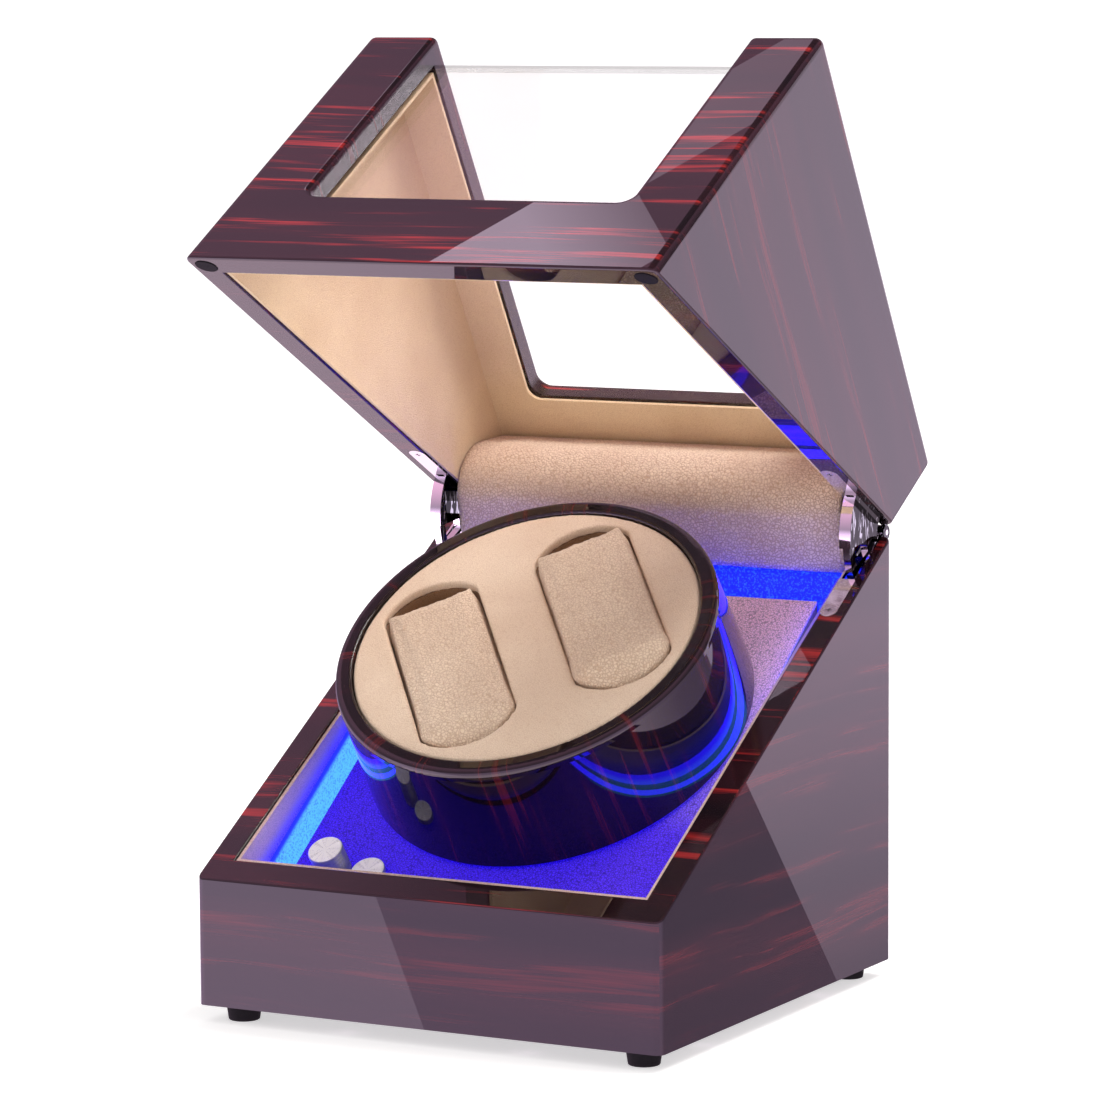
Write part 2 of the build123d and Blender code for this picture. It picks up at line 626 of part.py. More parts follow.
def gear(teeth, face, bore, phase=0.0, web=True):
    """Spur gear with involute flanks, thinned for backlash; phase turns its first tooth, in degrees."""
    pitch_r = GEAR_MODULE * teeth / 2
    pressure = math.radians(20)
    base_r = pitch_r * math.cos(pressure)
    tip_r = pitch_r + GEAR_MODULE
    root_r = pitch_r - 1.25 * GEAR_MODULE
    half_tooth = (math.pi * GEAR_MODULE / 2 - BACKLASH) / (2 * pitch_r)
    involute_at_pitch = math.tan(pressure) - pressure

    def flank_angle(radius):
        if radius <= base_r:
            return half_tooth + involute_at_pitch
        roll = math.acos(base_r / radius)
        return half_tooth + involute_at_pitch - (math.tan(roll) - roll)

    start_r = max(base_r, root_r)
    radii = [root_r] if root_r < start_r else []
    radii += [start_r + (tip_r - start_r) * step / 4 for step in range(5)]
    points = []
    for tooth in range(teeth):
        centre = math.radians(phase) + 2 * math.pi * tooth / teeth
        for radius in radii:
            points.append(polar(radius, math.degrees(centre - flank_angle(radius))))
        for radius in reversed(radii):
            points.append(polar(radius, math.degrees(centre + flank_angle(radius))))
    wheel = Pos(0, 0, face[0]) * extrude(make_face(Polyline(*points, close=True)), face[1] - face[0])
    if web:
        ring = tube(root_r - 2.0, 7.5, face[0] + 1.2, face[1] + 1)
        wheel -= ring
    return wheel - disc(bore, face[0] - 1, face[1] + 1)


def retaining_clip():
    """Split spring clip on the spindle's lower end."""
    return tube(4.2, 2.1, -26.35, -25.65) - Pos(0, -4, -26) * Box(2.4, 6, 2)


nodes["drum_shell"] = TABLE * drum_shell()
nodes["rim_ring"] = TABLE * rim_ring()
nodes["face_board"] = TABLE * face_board()
nodes["face_pad"] = TABLE * face_pad()
nodes["cup_left"] = TABLE * Pos(-SLOT_PITCH / 2, 0, 0) * cup()
nodes["cup_right"] = TABLE * Pos(SLOT_PITCH / 2, 0, 0) * cup()
nodes["turntable_hub"] = TABLE * hub()
nodes["hub_screws"] = group(
    [TABLE * Pos(x, y, DRUM_FOOT + 5) * pan_screw(4.8, 1.2) for x, y in HUB_SCREWS]
)
nodes["spindle"] = FLOOR * spindle()
nodes["spindle_clip"] = FLOOR * retaining_clip()


# ---------------------------------------------------------------- pillows
def pillow_outline(grow=0.0):
    """Plan of a pillow: straight upper end, bowed lower end that follows the slot."""
    half_w = PILLOW_W / 2 + grow
    low = -(SLOT_SIDE / 2)
    edge = Line((-half_w, low), (-half_w, PILLOW_HEAD + grow))
    edge += Line((-half_w, PILLOW_HEAD + grow), (half_w, PILLOW_HEAD + grow))
    edge += Line((half_w, PILLOW_HEAD + grow), (half_w, low))
    edge += ThreePointArc((half_w, low), (0, low - 8.4), (-half_w, low))
    return make_face(edge)


def pillow_pad():
    """Foam and leatherette block, rolled down at its lower end and hollow below for the core."""
    low = CUP_FLOOR + 0.4
    height = PILLOW_TOP - low
    body = Pos(0, 0, low) * extrude(pillow_outline(), height)
    rolled = block((-PILLOW_W, PILLOW_W), (-SLOT_L / 2, PILLOW_HEAD), (low, PILLOW_TOP))
    lower_edge = rolled.edges().filter_by(Axis.X).sort_by(Axis.Z)[-2:].sort_by(Axis.Y)[0]
    body &= fillet(lower_edge, 12.0)
    return body - block((-11, 11), (-30, 27), (0, CORE_TOP))


def pillow_core():
    """Springy plastic shell that keeps the pillow's shape."""
    low = CUP_FLOOR + 0.4
    shell = block((-11, 11), (-30, 27), (low, CORE_TOP))
    return shell - block((-9.4, 9.4), (-28.4, 25.4), (0, CORE_TOP - 1.6))


for side, hand in ((-1, "left"), (1, "right")):
    place = TABLE * Pos(side * SLOT_PITCH / 2, 0, PILLOW_PROUD[hand])
    nodes[f"pillow_{hand}_pad"] = place * pillow_pad()
    nodes[f"pillow_{hand}_core"] = place * pillow_core()


# ---------------------------------------------------------------- gear train and motor
def meshing_phase(own_teeth, other_teeth, other_phase, angle):
    """Phase that puts a gap of this gear on the other's tooth; angle points from the other to this."""
    other_pitch = 360 / other_teeth
    fraction = ((angle - other_phase) / other_pitch) % 1.0
    own_pitch = 360 / own_teeth
    return angle + 180 - (0.5 - fraction) * own_pitch


def plate(face):
    """Blank of a gearbox plate with rounded corners, between two heights."""
    outline = Pos(17, -6) * RectangleRounded(90, 64, 5)
    return Pos(0, 0, face[0]) * extrude(outline, face[1] - face[0])


top_plate = plate(PLATE_TOP) - disc(BUSH_R, -20, 5)
top_plate -= disc(IDLER_PIN_R, -20, 5, IDLER_X, 0)
for place in PLATE_SCREWS:
    top_plate -= disc(1.3, -20, 5, *place)
low_plate = plate(PLATE_LOW) - disc(4.5, -40, 5) - disc(IDLER_PIN_R, -40, 5, IDLER_X, 0)
low_plate -= disc(5.6, -40, 5, *MOTOR_PLACE)
for place in PILLARS:
    low_plate -= disc(1.3, -40, 5, *place)
nodes["gearbox_top_plate"] = FLOOR * top_plate
nodes["gearbox_low_plate"] = FLOOR * low_plate
pillars = [tube(2.6, 1.25, PLATE_LOW[1], PLATE_TOP[0], *place) for place in PILLARS]
nodes["gearbox_pillars"] = group([FLOOR * pillar for pillar in pillars])
pan_headed += [FLOOR * Pos(x, y, PLATE_LOW[0]) * Rot(180, 0, 0) * pan_screw(9) for x, y in PILLARS]
pan_headed += [
    FLOOR * Pos(x, y, PLATE_TOP[0]) * Rot(180, 0, 0) * pan_screw(5, 1.25, 2.4, 1.2) for x, y in PLATE_SCREWS
]
for place in PLATE_SCREWS:
    nodes["floor_board"] -= FLOOR * disc(1.3, BOARD_UNDER - 0.1, BOARD_UNDER + 3.2, *place)

upper_bush = tube(BUSH_R, SPINDLE_R + RUNNING_FIT, PLATE_TOP[0], -SKIN)
upper_bush += tube(9.0, SPINDLE_R + RUNNING_FIT, PLATE_TOP[0] - 1.5, PLATE_TOP[0])
nodes["spindle_bush_upper"] = FLOOR * upper_bush
lower_bush = tube(4.5, SPINDLE_LOW_R + RUNNING_FIT, PLATE_LOW[0], PLATE_LOW[1])
lower_bush += tube(6.5, SPINDLE_LOW_R + RUNNING_FIT, PLATE_LOW[1], PLATE_LOW[1] + 1.3)
nodes["spindle_bush_lower"] = FLOOR * lower_bush

nodes["output_gear"] = FLOOR * gear(OUTPUT_TEETH, OUTPUT_W, SPINDLE_R)

idler_pinion_phase = meshing_phase(PINION_TEETH, OUTPUT_TEETH, 0.0, 0.0)
idler = gear(PINION_TEETH, IDLER_PINION_W, IDLER_PIN_R + RUNNING_FIT, idler_pinion_phase, web=False)
idler += gear(IDLER_TEETH, IDLER_WHEEL_W, IDLER_PIN_R + RUNNING_FIT, 0.0)
idler += tube(3.4, IDLER_PIN_R + RUNNING_FIT, IDLER_WHEEL_W[0], IDLER_PINION_W[0])
nodes["idler_gear"] = FLOOR * Pos(IDLER_X, 0, 0) * idler
nodes["idler_pin"] = FLOOR * disc(IDLER_PIN_R, PLATE_LOW[0], PLATE_TOP[1], IDLER_X, 0)

motor_phase = meshing_phase(PINION_TEETH, IDLER_TEETH, 0.0, MOTOR_ANGLE)
motor_pinion = gear(PINION_TEETH, MOTOR_PINION_W, 0.9, motor_phase, web=False)
motor_pinion += disc(MOTOR_SHAFT_R, -52, MOTOR_PINION_W[1])
nodes["motor_pinion"] = FLOOR * Pos(*MOTOR_PLACE, 0) * motor_pinion


def motor_can():
    """Small direct-current motor: a flatted can with a bearing boss, bored for its shaft."""
    can = disc(12, PLATE_LOW[0] - 30, PLATE_LOW[0]) & Pos(0, 0, -40) * Box(30, 20, 60)
    can += disc(5.5, PLATE_LOW[0], PLATE_LOW[1] + 0.5)
    return can - disc(MOTOR_SHAFT_R + RUNNING_FIT, -53, 0)


nodes["motor"] = FLOOR * Pos(*MOTOR_PLACE, 0) * motor_can()


# ---------------------------------------------------------------- electronics
def control_board():
    """Circuit board with a few plain components, on the bottom panel."""
    board = block((-46, 4), (-40, -4), (PANEL_TOP + 6, PANEL_TOP + 7.6))
    for x, y in BOARD_HOLES:
        board -= disc(1.6, PANEL_TOP, PANEL_TOP + 10, x, y)
    chip_z = PANEL_TOP + 7.6
    board += block((-30, -20), (-26, -16), (chip_z, chip_z + 1.6))
    board += block((-12, -6), (-34, -22), (chip_z, chip_z + 6))
    board += disc(3.2, chip_z, chip_z + 9, -8, -12)
    return board


nodes["control_board"] = control_board()
nodes["board_posts"] = group([tube(3.0, 1.2, PANEL_TOP, PANEL_TOP + 6, x, y) for x, y in BOARD_HOLES])
pan_headed += [Pos(x, y, PANEL_TOP + 7.6) * pan_screw(6, 1.15, 2.4, 1.3) for x, y in BOARD_HOLES]


def power_inlet():
    """Round panel socket through the back wall, with its flange, barrel and centre contact."""
    body = disc(INLET_R - 0.1, -9, WALL) + disc(7.5, WALL, WALL + 2)
    body -= disc(2.8, WALL - 7.5, WALL + 3)
    body += disc(1.05, WALL - 8, WALL + 0.5)
    return Pos(INLET_X, INNER, INLET_Z) * Rot(-90, 0, 0) * body


nodes["power_inlet"] = power_inlet()
inlet_nut = extrude(RegularPolygon(8, 6), 2.5) - disc(INLET_R - 0.1, -1, 4)
nodes["inlet_nut"] = Pos(INLET_X, INNER, INLET_Z) * Rot(90, 0, 0) * inlet_nut


# ---------------------------------------------------------------- lid
def lid_shell():
    """Wooden lid: five walls with one window wrapped over the front and the top."""
    outline = [
        (-HALF_D, rim_z(-HALF_D, LID_GAP)),
        (HALF_D, rim_z(HALF_D, LID_GAP)),
        (HALF_D, TOP_Z),
        (-HALF_D, TOP_Z),
    ]
    shell = side_profile(outline, -HALF_W, HALF_W)
    upper = [e for e in shell.edges() if e.center().Z > rim_z(e.center().Y, LID_GAP) + 1]
    shell = fillet(upper, 3.0)
    shell -= block((-INNER, INNER), (-INNER, INNER), (0, CEILING))
    shell -= window_tool()
    window_edges = [e for e in shell.edges() if on_window(e.center())]
    shell = fillet(window_edges, 2.4)
    rim = [e for e in shell.edges() if on_lid_rim(e)]
    shell = fillet(rim, 0.8)
    rebate_w = WINDOW_HALF_W + PANE_LAP + 0.1
    rebate_low = BASE_Z + WINDOW_SILL - PANE_LAP - 0.1
    shell -= block((-rebate_w, rebate_w), (-INNER - PANE_T, -INNER + 1), (rebate_low, CEILING + PANE_T))
    back = WINDOW_BACK_Y + PANE_LAP + 0.1
    shell -= block((-rebate_w, rebate_w), (-INNER - PANE_T, back), (CEILING - 1, CEILING + PANE_T))
    for side in (-1, 1):
        shell -= hinge_pocket(side, upper=True)
        shell -= screw_place(side, LID_FACE, down=False) * disc(PILOT_R, -11, 0)
        shell -= bumper_place(side) * disc(4.1, -1, 2.6)
    return shell


def window_tool():
    """The window's opening, with rounded corners, through the front wall and the top wall."""
    width = 2 * WINDOW_HALF_W
    sill = BASE_Z + WINDOW_SILL
    front = Pos(0, 0, sill + ENDLESS / 2) * Box(width, 60, ENDLESS)
    front = fillet(front.edges().filter_by(Axis.Y).sort_by(Axis.Z)[:2], 5.0)
    front = Pos(0, -HALF_D, 0) * front
    top = Pos(0, WINDOW_BACK_Y - ENDLESS / 2, TOP_Z) * Box(width, ENDLESS, 60)
    top = fillet(top.edges().filter_by(Axis.Z).sort_by(Axis.Y)[-2:], 5.0)
    return front + top


def on_window(point):
    """True for a point on the window's outline in the lid's outer faces."""
    outside = abs(point.Y + HALF_D) < 1.5 or abs(point.Z - TOP_Z) < 1.5
    inside_width = abs(point.X) < WINDOW_HALF_W + 0.1
    inside_height = point.Z > BASE_Z + WINDOW_SILL - 0.1
    return outside and inside_width and inside_height and point.Y < WINDOW_BACK_Y + 0.1


def on_lid_rim(edge):
    """True for an edge that lies in the lid's rim plane."""
    return all(abs(p.Z - rim_z(p.Y, LID_GAP)) < 0.01 for p in (edge @ 0, edge @ 0.5, edge @ 1))


def bumper_place(side):
    """Place of a rim bumper: origin on the lid's rim near a front corner, +z into the lid."""
    y = -HALF_D + 5.6
    return Pos(side * 84.0, y, rim_z(y, LID_GAP)) * Rot(math.degrees(RIM_TILT), 0, 0)


nodes["lid_shell"] = opened(lid_shell())
bumper = disc(4.0, -0.3, 2.5)
bumper = fillet(bumper.edges().sort_by(Axis.Z)[0], 0.25)
nodes["lid_bumpers"] = group([opened(bumper_place(side) * bumper) for side in (-1, 1)])

pane_half = WINDOW_HALF_W + PANE_LAP
pane_low = BASE_Z + WINDOW_SILL - PANE_LAP
front_pane = block((-pane_half, pane_half), (-INNER - PANE_T, -INNER), (pane_low, CEILING))
pane_depth = (-INNER - PANE_T, WINDOW_BACK_Y + PANE_LAP)
top_pane = block((-pane_half, pane_half), pane_depth, (CEILING, CEILING + PANE_T))
nodes["window_pane_front"] = opened(front_pane)
nodes["window_pane_top"] = opened(top_pane)


def lid_linings():
    """Lining boards on the lid's five inner faces, cut out around the window."""
    low_edge = 0.9 + LID_GAP
    ceiling = CEILING - LINING
    side_outline = [
        (-LINED, rim_z(-LINED, low_edge)),
        (LINED, rim_z(LINED, low_edge)),
        (LINED, ceiling),
        (-LINED, ceiling),
    ]
    boards = [side_profile(side_outline, side * LINED, side * INNER) for side in (-1, 1)]
    window = window_tool()
    front_outline = [
        (-INNER, rim_z(-INNER, low_edge)),
        (-LINED, rim_z(-LINED, low_edge)),
        (-LINED, CEILING),
        (-INNER, CEILING),
    ]
    front = side_profile(front_outline, -INNER, INNER) - window
    top = block((-INNER, INNER), (-LINED, INNER), (ceiling, CEILING)) - window
    back_outline = [
        (LINED, rim_z(LINED, low_edge)),
        (INNER, rim_z(INNER, low_edge)),
        (INNER, ceiling),
        (LINED, ceiling),
    ]
    boards += [front, top, side_profile(back_outline, -LINED, LINED)]
    nodes["lid_linings"] = group([opened(board) for board in boards])


lid_linings()


# ---------------------------------------------------------------- curtain over the hinge gap
def back_curtain():
    """Leatherette flap from the lid's top lining down over the hinge gap, with the lid open."""
    top = (107.0, 186.2)
    bend_start = (92.0, 185.4)
    bend_end = (72.8, 167.5)
    hem = (77.0, 146.5)
    path = Line(top, bend_start)
    path += ThreePointArc(bend_start, (77.4, 179.2), bend_end)
    path += Line(bend_end, hem)
    strip = trace(path, CURTAIN_T)
    return Pos(-CURTAIN_HALF_W, 0, 0) * extrude(SIDE_PLANE * strip, 2 * CURTAIN_HALF_W, dir=(1, 0, 0))


nodes["back_curtain"] = back_curtain()


# ---------------------------------------------------------------- one STEP file for each node
nodes["wood_screws"] = group(countersunk)
nodes["machine_screws"] = group(pan_headed)
os.makedirs("parts", exist_ok=True)
for name, shape in nodes.items():
    export_step(shape, f"parts/{name}.step")
print(len(nodes), "nodes")
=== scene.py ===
import json
import math

import bmesh
import bpy
import numpy as np
from mathutils import Matrix, Vector


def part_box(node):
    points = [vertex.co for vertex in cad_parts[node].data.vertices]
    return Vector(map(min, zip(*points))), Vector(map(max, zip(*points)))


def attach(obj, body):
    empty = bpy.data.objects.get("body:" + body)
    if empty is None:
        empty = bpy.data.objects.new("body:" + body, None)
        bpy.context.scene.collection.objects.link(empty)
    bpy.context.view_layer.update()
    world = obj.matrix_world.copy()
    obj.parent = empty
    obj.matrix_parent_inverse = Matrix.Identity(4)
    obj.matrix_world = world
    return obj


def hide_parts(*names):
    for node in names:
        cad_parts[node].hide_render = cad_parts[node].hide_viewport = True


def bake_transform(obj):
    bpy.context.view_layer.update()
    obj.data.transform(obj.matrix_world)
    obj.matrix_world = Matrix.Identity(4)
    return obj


# Looks for the watch winder box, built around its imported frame. Metres, in the row frame.
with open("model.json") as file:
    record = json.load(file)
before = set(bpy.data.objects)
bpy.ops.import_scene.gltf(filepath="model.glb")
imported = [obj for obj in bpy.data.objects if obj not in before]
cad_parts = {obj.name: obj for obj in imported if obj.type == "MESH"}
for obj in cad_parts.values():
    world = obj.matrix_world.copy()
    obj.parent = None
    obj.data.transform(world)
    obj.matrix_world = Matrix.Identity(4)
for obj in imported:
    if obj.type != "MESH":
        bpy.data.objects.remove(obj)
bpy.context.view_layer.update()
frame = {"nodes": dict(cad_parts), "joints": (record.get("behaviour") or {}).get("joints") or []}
nodes = frame["nodes"]
joints = {j["name"]: j for j in frame["joints"]}
scene = bpy.context.scene


# ---------------------------------------------------------------- frames of reference
def points(node):
    """A CAD node's vertices, in the row frame."""
    mesh = nodes[node].data
    co = np.zeros(len(mesh.vertices) * 3)
    mesh.vertices.foreach_get("co", co)
    return co.reshape(-1, 3)


def moved(co, matrix):
    """An array of points, moved by a matrix."""
    m = np.array(matrix)
    return co @ m[:3, :3].T + m[:3, 3]


def local_box(node, place):
    """Lowest and highest corner of a CAD node in another frame of reference."""
    co = moved(points(node), place.inverted())
    return Vector(co.min(0)), Vector(co.max(0))


def turned(x, y, z, origin):
    """A matrix from its three axes and its origin."""
    place = Matrix((x, y, z)).transposed().to_4x4()
    place.translation = Vector(origin)
    return place


def place_of(origin, x_axis, z_axis):
    """A frame of reference from its origin, z axis and the direction nearest its x axis."""
    z = Vector(z_axis).normalized()
    x = Vector(x_axis)
    x = (x - z * x.dot(z)).normalized()
    return turned(x, z.cross(x), z, origin)


hinge = Vector(joints["lid_hinge"]["pos_m"])
lid_angle = -math.radians(joints["lid_hinge"]["range_deg"][0])
spin = joints["turntable_spin"]
pillow_to_pillow = points("cup_right").mean(0) - points("cup_left").mean(0)
# the sloping floor's frame: x to the right, y up the slope, z out of it along the turntable's axis
floor_place = place_of(spin["pos_m"], (1, 0, 0), spin["axis"])
# the same for the turntable, with x from the left pillow to the right one
table_place = place_of(spin["pos_m"], pillow_to_pillow, spin["axis"])
# the lid's own frame of reference, with its coordinates as they are when it is closed
lid_turn = Matrix.Rotation(-lid_angle, 4, "X")
lid_place = Matrix.Translation(hinge) @ lid_turn @ Matrix.Translation(-hinge)


# ---------------------------------------------------------------- node graphs
class Tree:
    """A shader node tree, with short ways to add nodes to it."""

    def __init__(self, tree):
        self.tree = tree

    def add(self, kind, inputs=None, **settings):
        """A node with its settings, and a value or a link for each named input."""
        node = self.tree.nodes.new(kind)
        for key, value in settings.items():
            setattr(node, key, value)
        for key, value in (inputs or {}).items():
            self.put(node.inputs[key], value)
        return node

    def put(self, socket, value):
        """Links a socket, or sets its value."""
        if isinstance(value, bpy.types.NodeSocket):
            self.tree.links.new(value, socket)
        else:
            socket.default_value = value

    def math(self, operation, a, b=0.0):
        return self.add("ShaderNodeMath", {0: a, 1: b}, operation=operation).outputs[0]

    def total(self, first, *others):
        """The sum of several values."""
        for other in others:
            first = self.math("ADD", first, other)
        return first

    def times(self, a, b):
        return self.math("MULTIPLY", a, b)

    def centred(self, value, amount):
        """A value about 0.5 made one about zero, then scaled."""
        return self.times(self.math("SUBTRACT", value, 0.5), amount)

    def clamp(self, value, low, high, to_low=0.0, to_high=1.0, curve="SMOOTHSTEP"):
        """Maps a range onto another, without going past its ends."""
        ends = {"From Min": low, "From Max": high, "To Min": to_low, "To Max": to_high}
        node = self.add("ShaderNodeMapRange", {"Value": value, **ends}, interpolation_type=curve)
        return node.outputs[0]

    def linear(self, value, low, high, to_low=0.0, to_high=1.0):
        return self.clamp(value, low, high, to_low, to_high, "LINEAR")

    def xyz(self, vector):
        return self.add("ShaderNodeSeparateXYZ", {0: vector}).outputs

    def joined(self, x, y, z):
        return self.add("ShaderNodeCombineXYZ", {0: x, 1: y, 2: z}).outputs[0]

    def grey(self, value):
        return self.joined(value, value, value)

    def ramp(self, value, *stops):
        """A colour for each (position, colour) stop."""
        node = self.add("ShaderNodeValToRGB", {0: value})
        elements = node.color_ramp.elements
        while len(elements) < len(stops):
            elements.new(0.5)
        for element, (position, colour) in zip(elements, stops):
            element.position = position
            element.color = (*colour, 1)
        return node.outputs[0]


class Graph(Tree):
    """Builds one surface material's shader nodes."""

    def __init__(self, name, **uniform):
        self.material = bpy.data.materials.new(name)
        self.material.use_nodes = True
        super().__init__(self.material.node_tree)
        self.shader = self.tree.nodes["Principled BSDF"]
        for socket, value in uniform.items():
            self.shader.inputs[socket.replace("_", " ")].default_value = value

    def finish(self, **linked):
        """Links the shader's own inputs."""
        for socket, value in linked.items():
            self.put(self.shader.inputs[socket.replace("_", " ")], value)
        return self.material

    def vector_math(self, operation, a, b):
        node = self.add("ShaderNodeVectorMath", {0: a, 1: b}, operation=operation)
        return node.outputs["Value" if operation == "DOT_PRODUCT" else 0]

    def mapped(self, vector, place=None, scale=(1, 1, 1)):
        """A vector in another frame of reference, then scaled along that frame's axes."""
        if place is not None:
            inverse = place.inverted()
            settings = {"Vector": vector, "Location": inverse.translation, "Rotation": inverse.to_euler()}
            vector = self.add("ShaderNodeMapping", settings).outputs[0]
        if tuple(scale) != (1, 1, 1):
            vector = self.add("ShaderNodeMapping", {"Vector": vector, "Scale": scale}).outputs[0]
        return vector

    def coordinates(self, place=None):
        """Position on the piece, in metres, which moves with the piece."""
        vector = self.add("ShaderNodeTexCoord").outputs["Object"]
        return self.mapped(vector, place)

    def normal(self, place=None):
        """The piece's own surface direction, turned into a frame of reference."""
        vector = self.add("ShaderNodeTexCoord").outputs["Normal"]
        if place is None:
            return vector
        settings = {"Vector": vector, "Rotation": place.inverted().to_3x3().to_euler()}
        return self.add("ShaderNodeMapping", settings, vector_type="VECTOR").outputs[0]

    def noise(self, vector, scale=1.0, detail=2.0, roughness=0.5, distortion=0.0):
        values = {"Scale": scale, "Detail": detail, "Roughness": roughness, "Distortion": distortion}
        return self.add("ShaderNodeTexNoise", {"Vector": vector, **values}).outputs[0]

    def cells(self, vector, scale, feature="F1"):
        node = self.add("ShaderNodeTexVoronoi", {"Vector": vector, "Scale": scale}, feature=feature)
        return node.outputs["Distance"]

    def mix(self, factor, a, b, blend="MIX"):
        """Mixes two colours."""
        node = self.add("ShaderNodeMix", data_type="RGBA", blend_type=blend)
        self.put(node.inputs[0], factor)
        self.put(node.inputs[6], a if isinstance(a, bpy.types.NodeSocket) else (*a, 1))
        self.put(node.inputs[7], b if isinstance(b, bpy.types.NodeSocket) else (*b, 1))
        return node.outputs[2]

    def toned(self, colour, tone):
        """A colour made darker or lighter by a value."""
        return self.mix(1.0, colour, self.grey(tone), "MULTIPLY")

    def bump(self, height, distance, strength=1.0):
        inputs = {"Height": height, "Distance": distance, "Strength": strength}
        return self.add("ShaderNodeBump", inputs).outputs[0]


def srgb(red, green, blue):
    """Linear colour from display values, 0 to 255."""
    return tuple(((v / 255 + 0.055) / 1.055) ** 2.4 if v > 10 else v / 3294.6 for v in (red, green, blue))


def scaled(colour, factor):
    return tuple(factor * c for c in colour)


# ---------------------------------------------------------------- wood
def veneer_colour(g, along, across_grain, seed, strength, dark=1.0):
    """Dark striped veneer: soft red streaks run along one coordinate, in bunches of fine threads."""
    slow = g.joined(g.times(along, 6), g.times(across_grain, 9), seed)
    level = g.total(across_grain, g.centred(g.noise(slow, detail=1.0), 0.014))

    def streaks(length, width, offset, detail=2.0):
        vector = g.joined(g.math("DIVIDE", along, length), g.math("DIVIDE", level, width), seed + offset)
        return g.noise(vector, detail=detail)

    def shade(red, green, blue):
        return srgb(red * dark, green * dark, blue * dark)

    bunch = streaks(length=0.260, width=0.019, offset=1.7, detail=1.0)
    stripe = streaks(length=0.085, width=0.0042, offset=7.3)
    thread = streaks(length=0.040, width=0.0008, offset=9.9)
    fibre = streaks(length=0.020, width=0.0004, offset=4.1)
    mask = g.clamp(g.total(stripe, g.centred(bunch, 0.42), g.centred(thread, 0.22)), 0.50, 0.735)
    share = g.times(mask, g.times(g.clamp(thread, 0.25, 0.65, 0.45, 1.0), strength))
    ground = g.ramp(bunch, (0.34, shade(14, 6, 10)), (0.60, shade(40, 13, 19)))
    red = g.ramp(mask, (0.15, shade(96, 14, 24)), (0.85, shade(196, 46, 42)))
    return g.toned(g.mix(share, ground, red), g.clamp(fibre, 0.25, 0.75, 0.75, 1.2))


LACQUER = {
    "Roughness": 0.5,
    "Specular_IOR_Level": 0.05,
    "Coat_Weight": 1.0,
    "Coat_IOR": 1.55,
}


def lacquered(name, place, seed, lit_normal, weakest, strongest):
    """Veneered boards under a deep clear gloss, with painted light: the red streaks are painted stronger on
    faces turned towards lit_normal, as if lit from there.
    """
    g = Graph(name, Coat_Roughness=0.0, **LACQUER)
    x, y, z = g.xyz(g.coordinates(place))
    facing = g.normal(place)
    toward = g.xyz(facing)
    flat = g.math("GREATER_THAN", g.math("ABSOLUTE", toward[2]), 0.8)
    side = g.math("GREATER_THAN", g.math("ABSOLUTE", toward[0]), 0.7)
    upright = g.math("SUBTRACT", 1.0, flat)
    front = g.math("SUBTRACT", 1.0, side)
    level = g.total(g.times(z, upright), g.times(y, flat))
    along = g.total(g.times(y, side), g.times(x, front))
    # painted light: faces turned towards lit_normal get their red streaks painted strongest, as if lit
    toward_light = g.vector_math("DOT_PRODUCT", facing, lit_normal)
    strength = g.clamp(toward_light, 0.80, 0.97, weakest, strongest)
    return g.finish(Base_Color=veneer_colour(g, along, level, seed, strength))


def lacquered_drum(name, place, seed, radius):
    """The same veneer wrapped round a drum, with its streaks along the drum's axis."""
    g = Graph(name, Coat_Roughness=0.035, **LACQUER)
    x, y, z = g.xyz(g.coordinates(place))
    level = g.times(g.math("ARCTAN2", y, x), radius)
    return g.finish(Base_Color=veneer_colour(g, z, level, seed, strength=0.5, dark=0.55))


def board_material(name, colour):
    """Pressed wood board: short flecks."""
    g = Graph(name, Roughness=0.75)
    where = g.coordinates()
    flecks = g.cells(g.mapped(where, scale=(500, 900, 700)), 1.0)
    fine = g.noise(where, 1500.0, detail=3.0)
    shade = g.total(g.times(flecks, 0.5), g.times(fine, 0.5))
    base = g.ramp(shade, (0.2, scaled(colour, 0.6)), (0.7, colour))
    return g.finish(Base_Color=base, Normal=g.bump(fine, 0.0001, 0.4))


# ---------------------------------------------------------------- leatherette linings and covers
def pebbles(g, where, grain):
    """1 along the creases between irregular rounded cells, 0 on top of them."""
    warp = g.add("ShaderNodeTexNoise", {"Vector": where, "Scale": 0.5 / grain, "Detail": 1.0}).outputs[1]
    offset = g.vector_math("SUBTRACT", warp, (0.5, 0.5, 0.5))
    wander = {0: offset, "Scale": grain * 1.3}
    offset = g.add("ShaderNodeVectorMath", wander, operation="SCALE").outputs[0]
    edge = g.cells(g.vector_math("ADD", where, offset), 1 / grain, "DISTANCE_TO_EDGE")
    return g.clamp(edge, 0.0, 0.19, 1.0, 0.0)


def grain_bump(g, valley, depth):
    return g.bump(g.math("SUBTRACT", 1.0, valley), depth)


def leatherette(name, colour, dark, grain, depth=0.00014, crease_shade=0.6):
    """Fine-grained leatherette: rounded pebbles, with the creases between them painted darker as shade."""
    g = Graph(name, Roughness=0.62, Sheen_Weight=0.2, Sheen_Roughness=0.5, Specular_IOR_Level=0.3)
    where = g.coordinates()
    valley = pebbles(g, where, grain)
    shade = g.clamp(g.noise(where, 26.0, detail=3.0), 0.3, 0.7, 0.0, 0.3)
    # painted shade: the creases between the pebbles are painted darker
    base = g.mix(g.times(valley, crease_shade), g.mix(shade, colour, dark), dark)
    return g.finish(Base_Color=base, Normal=grain_bump(g, valley, depth))


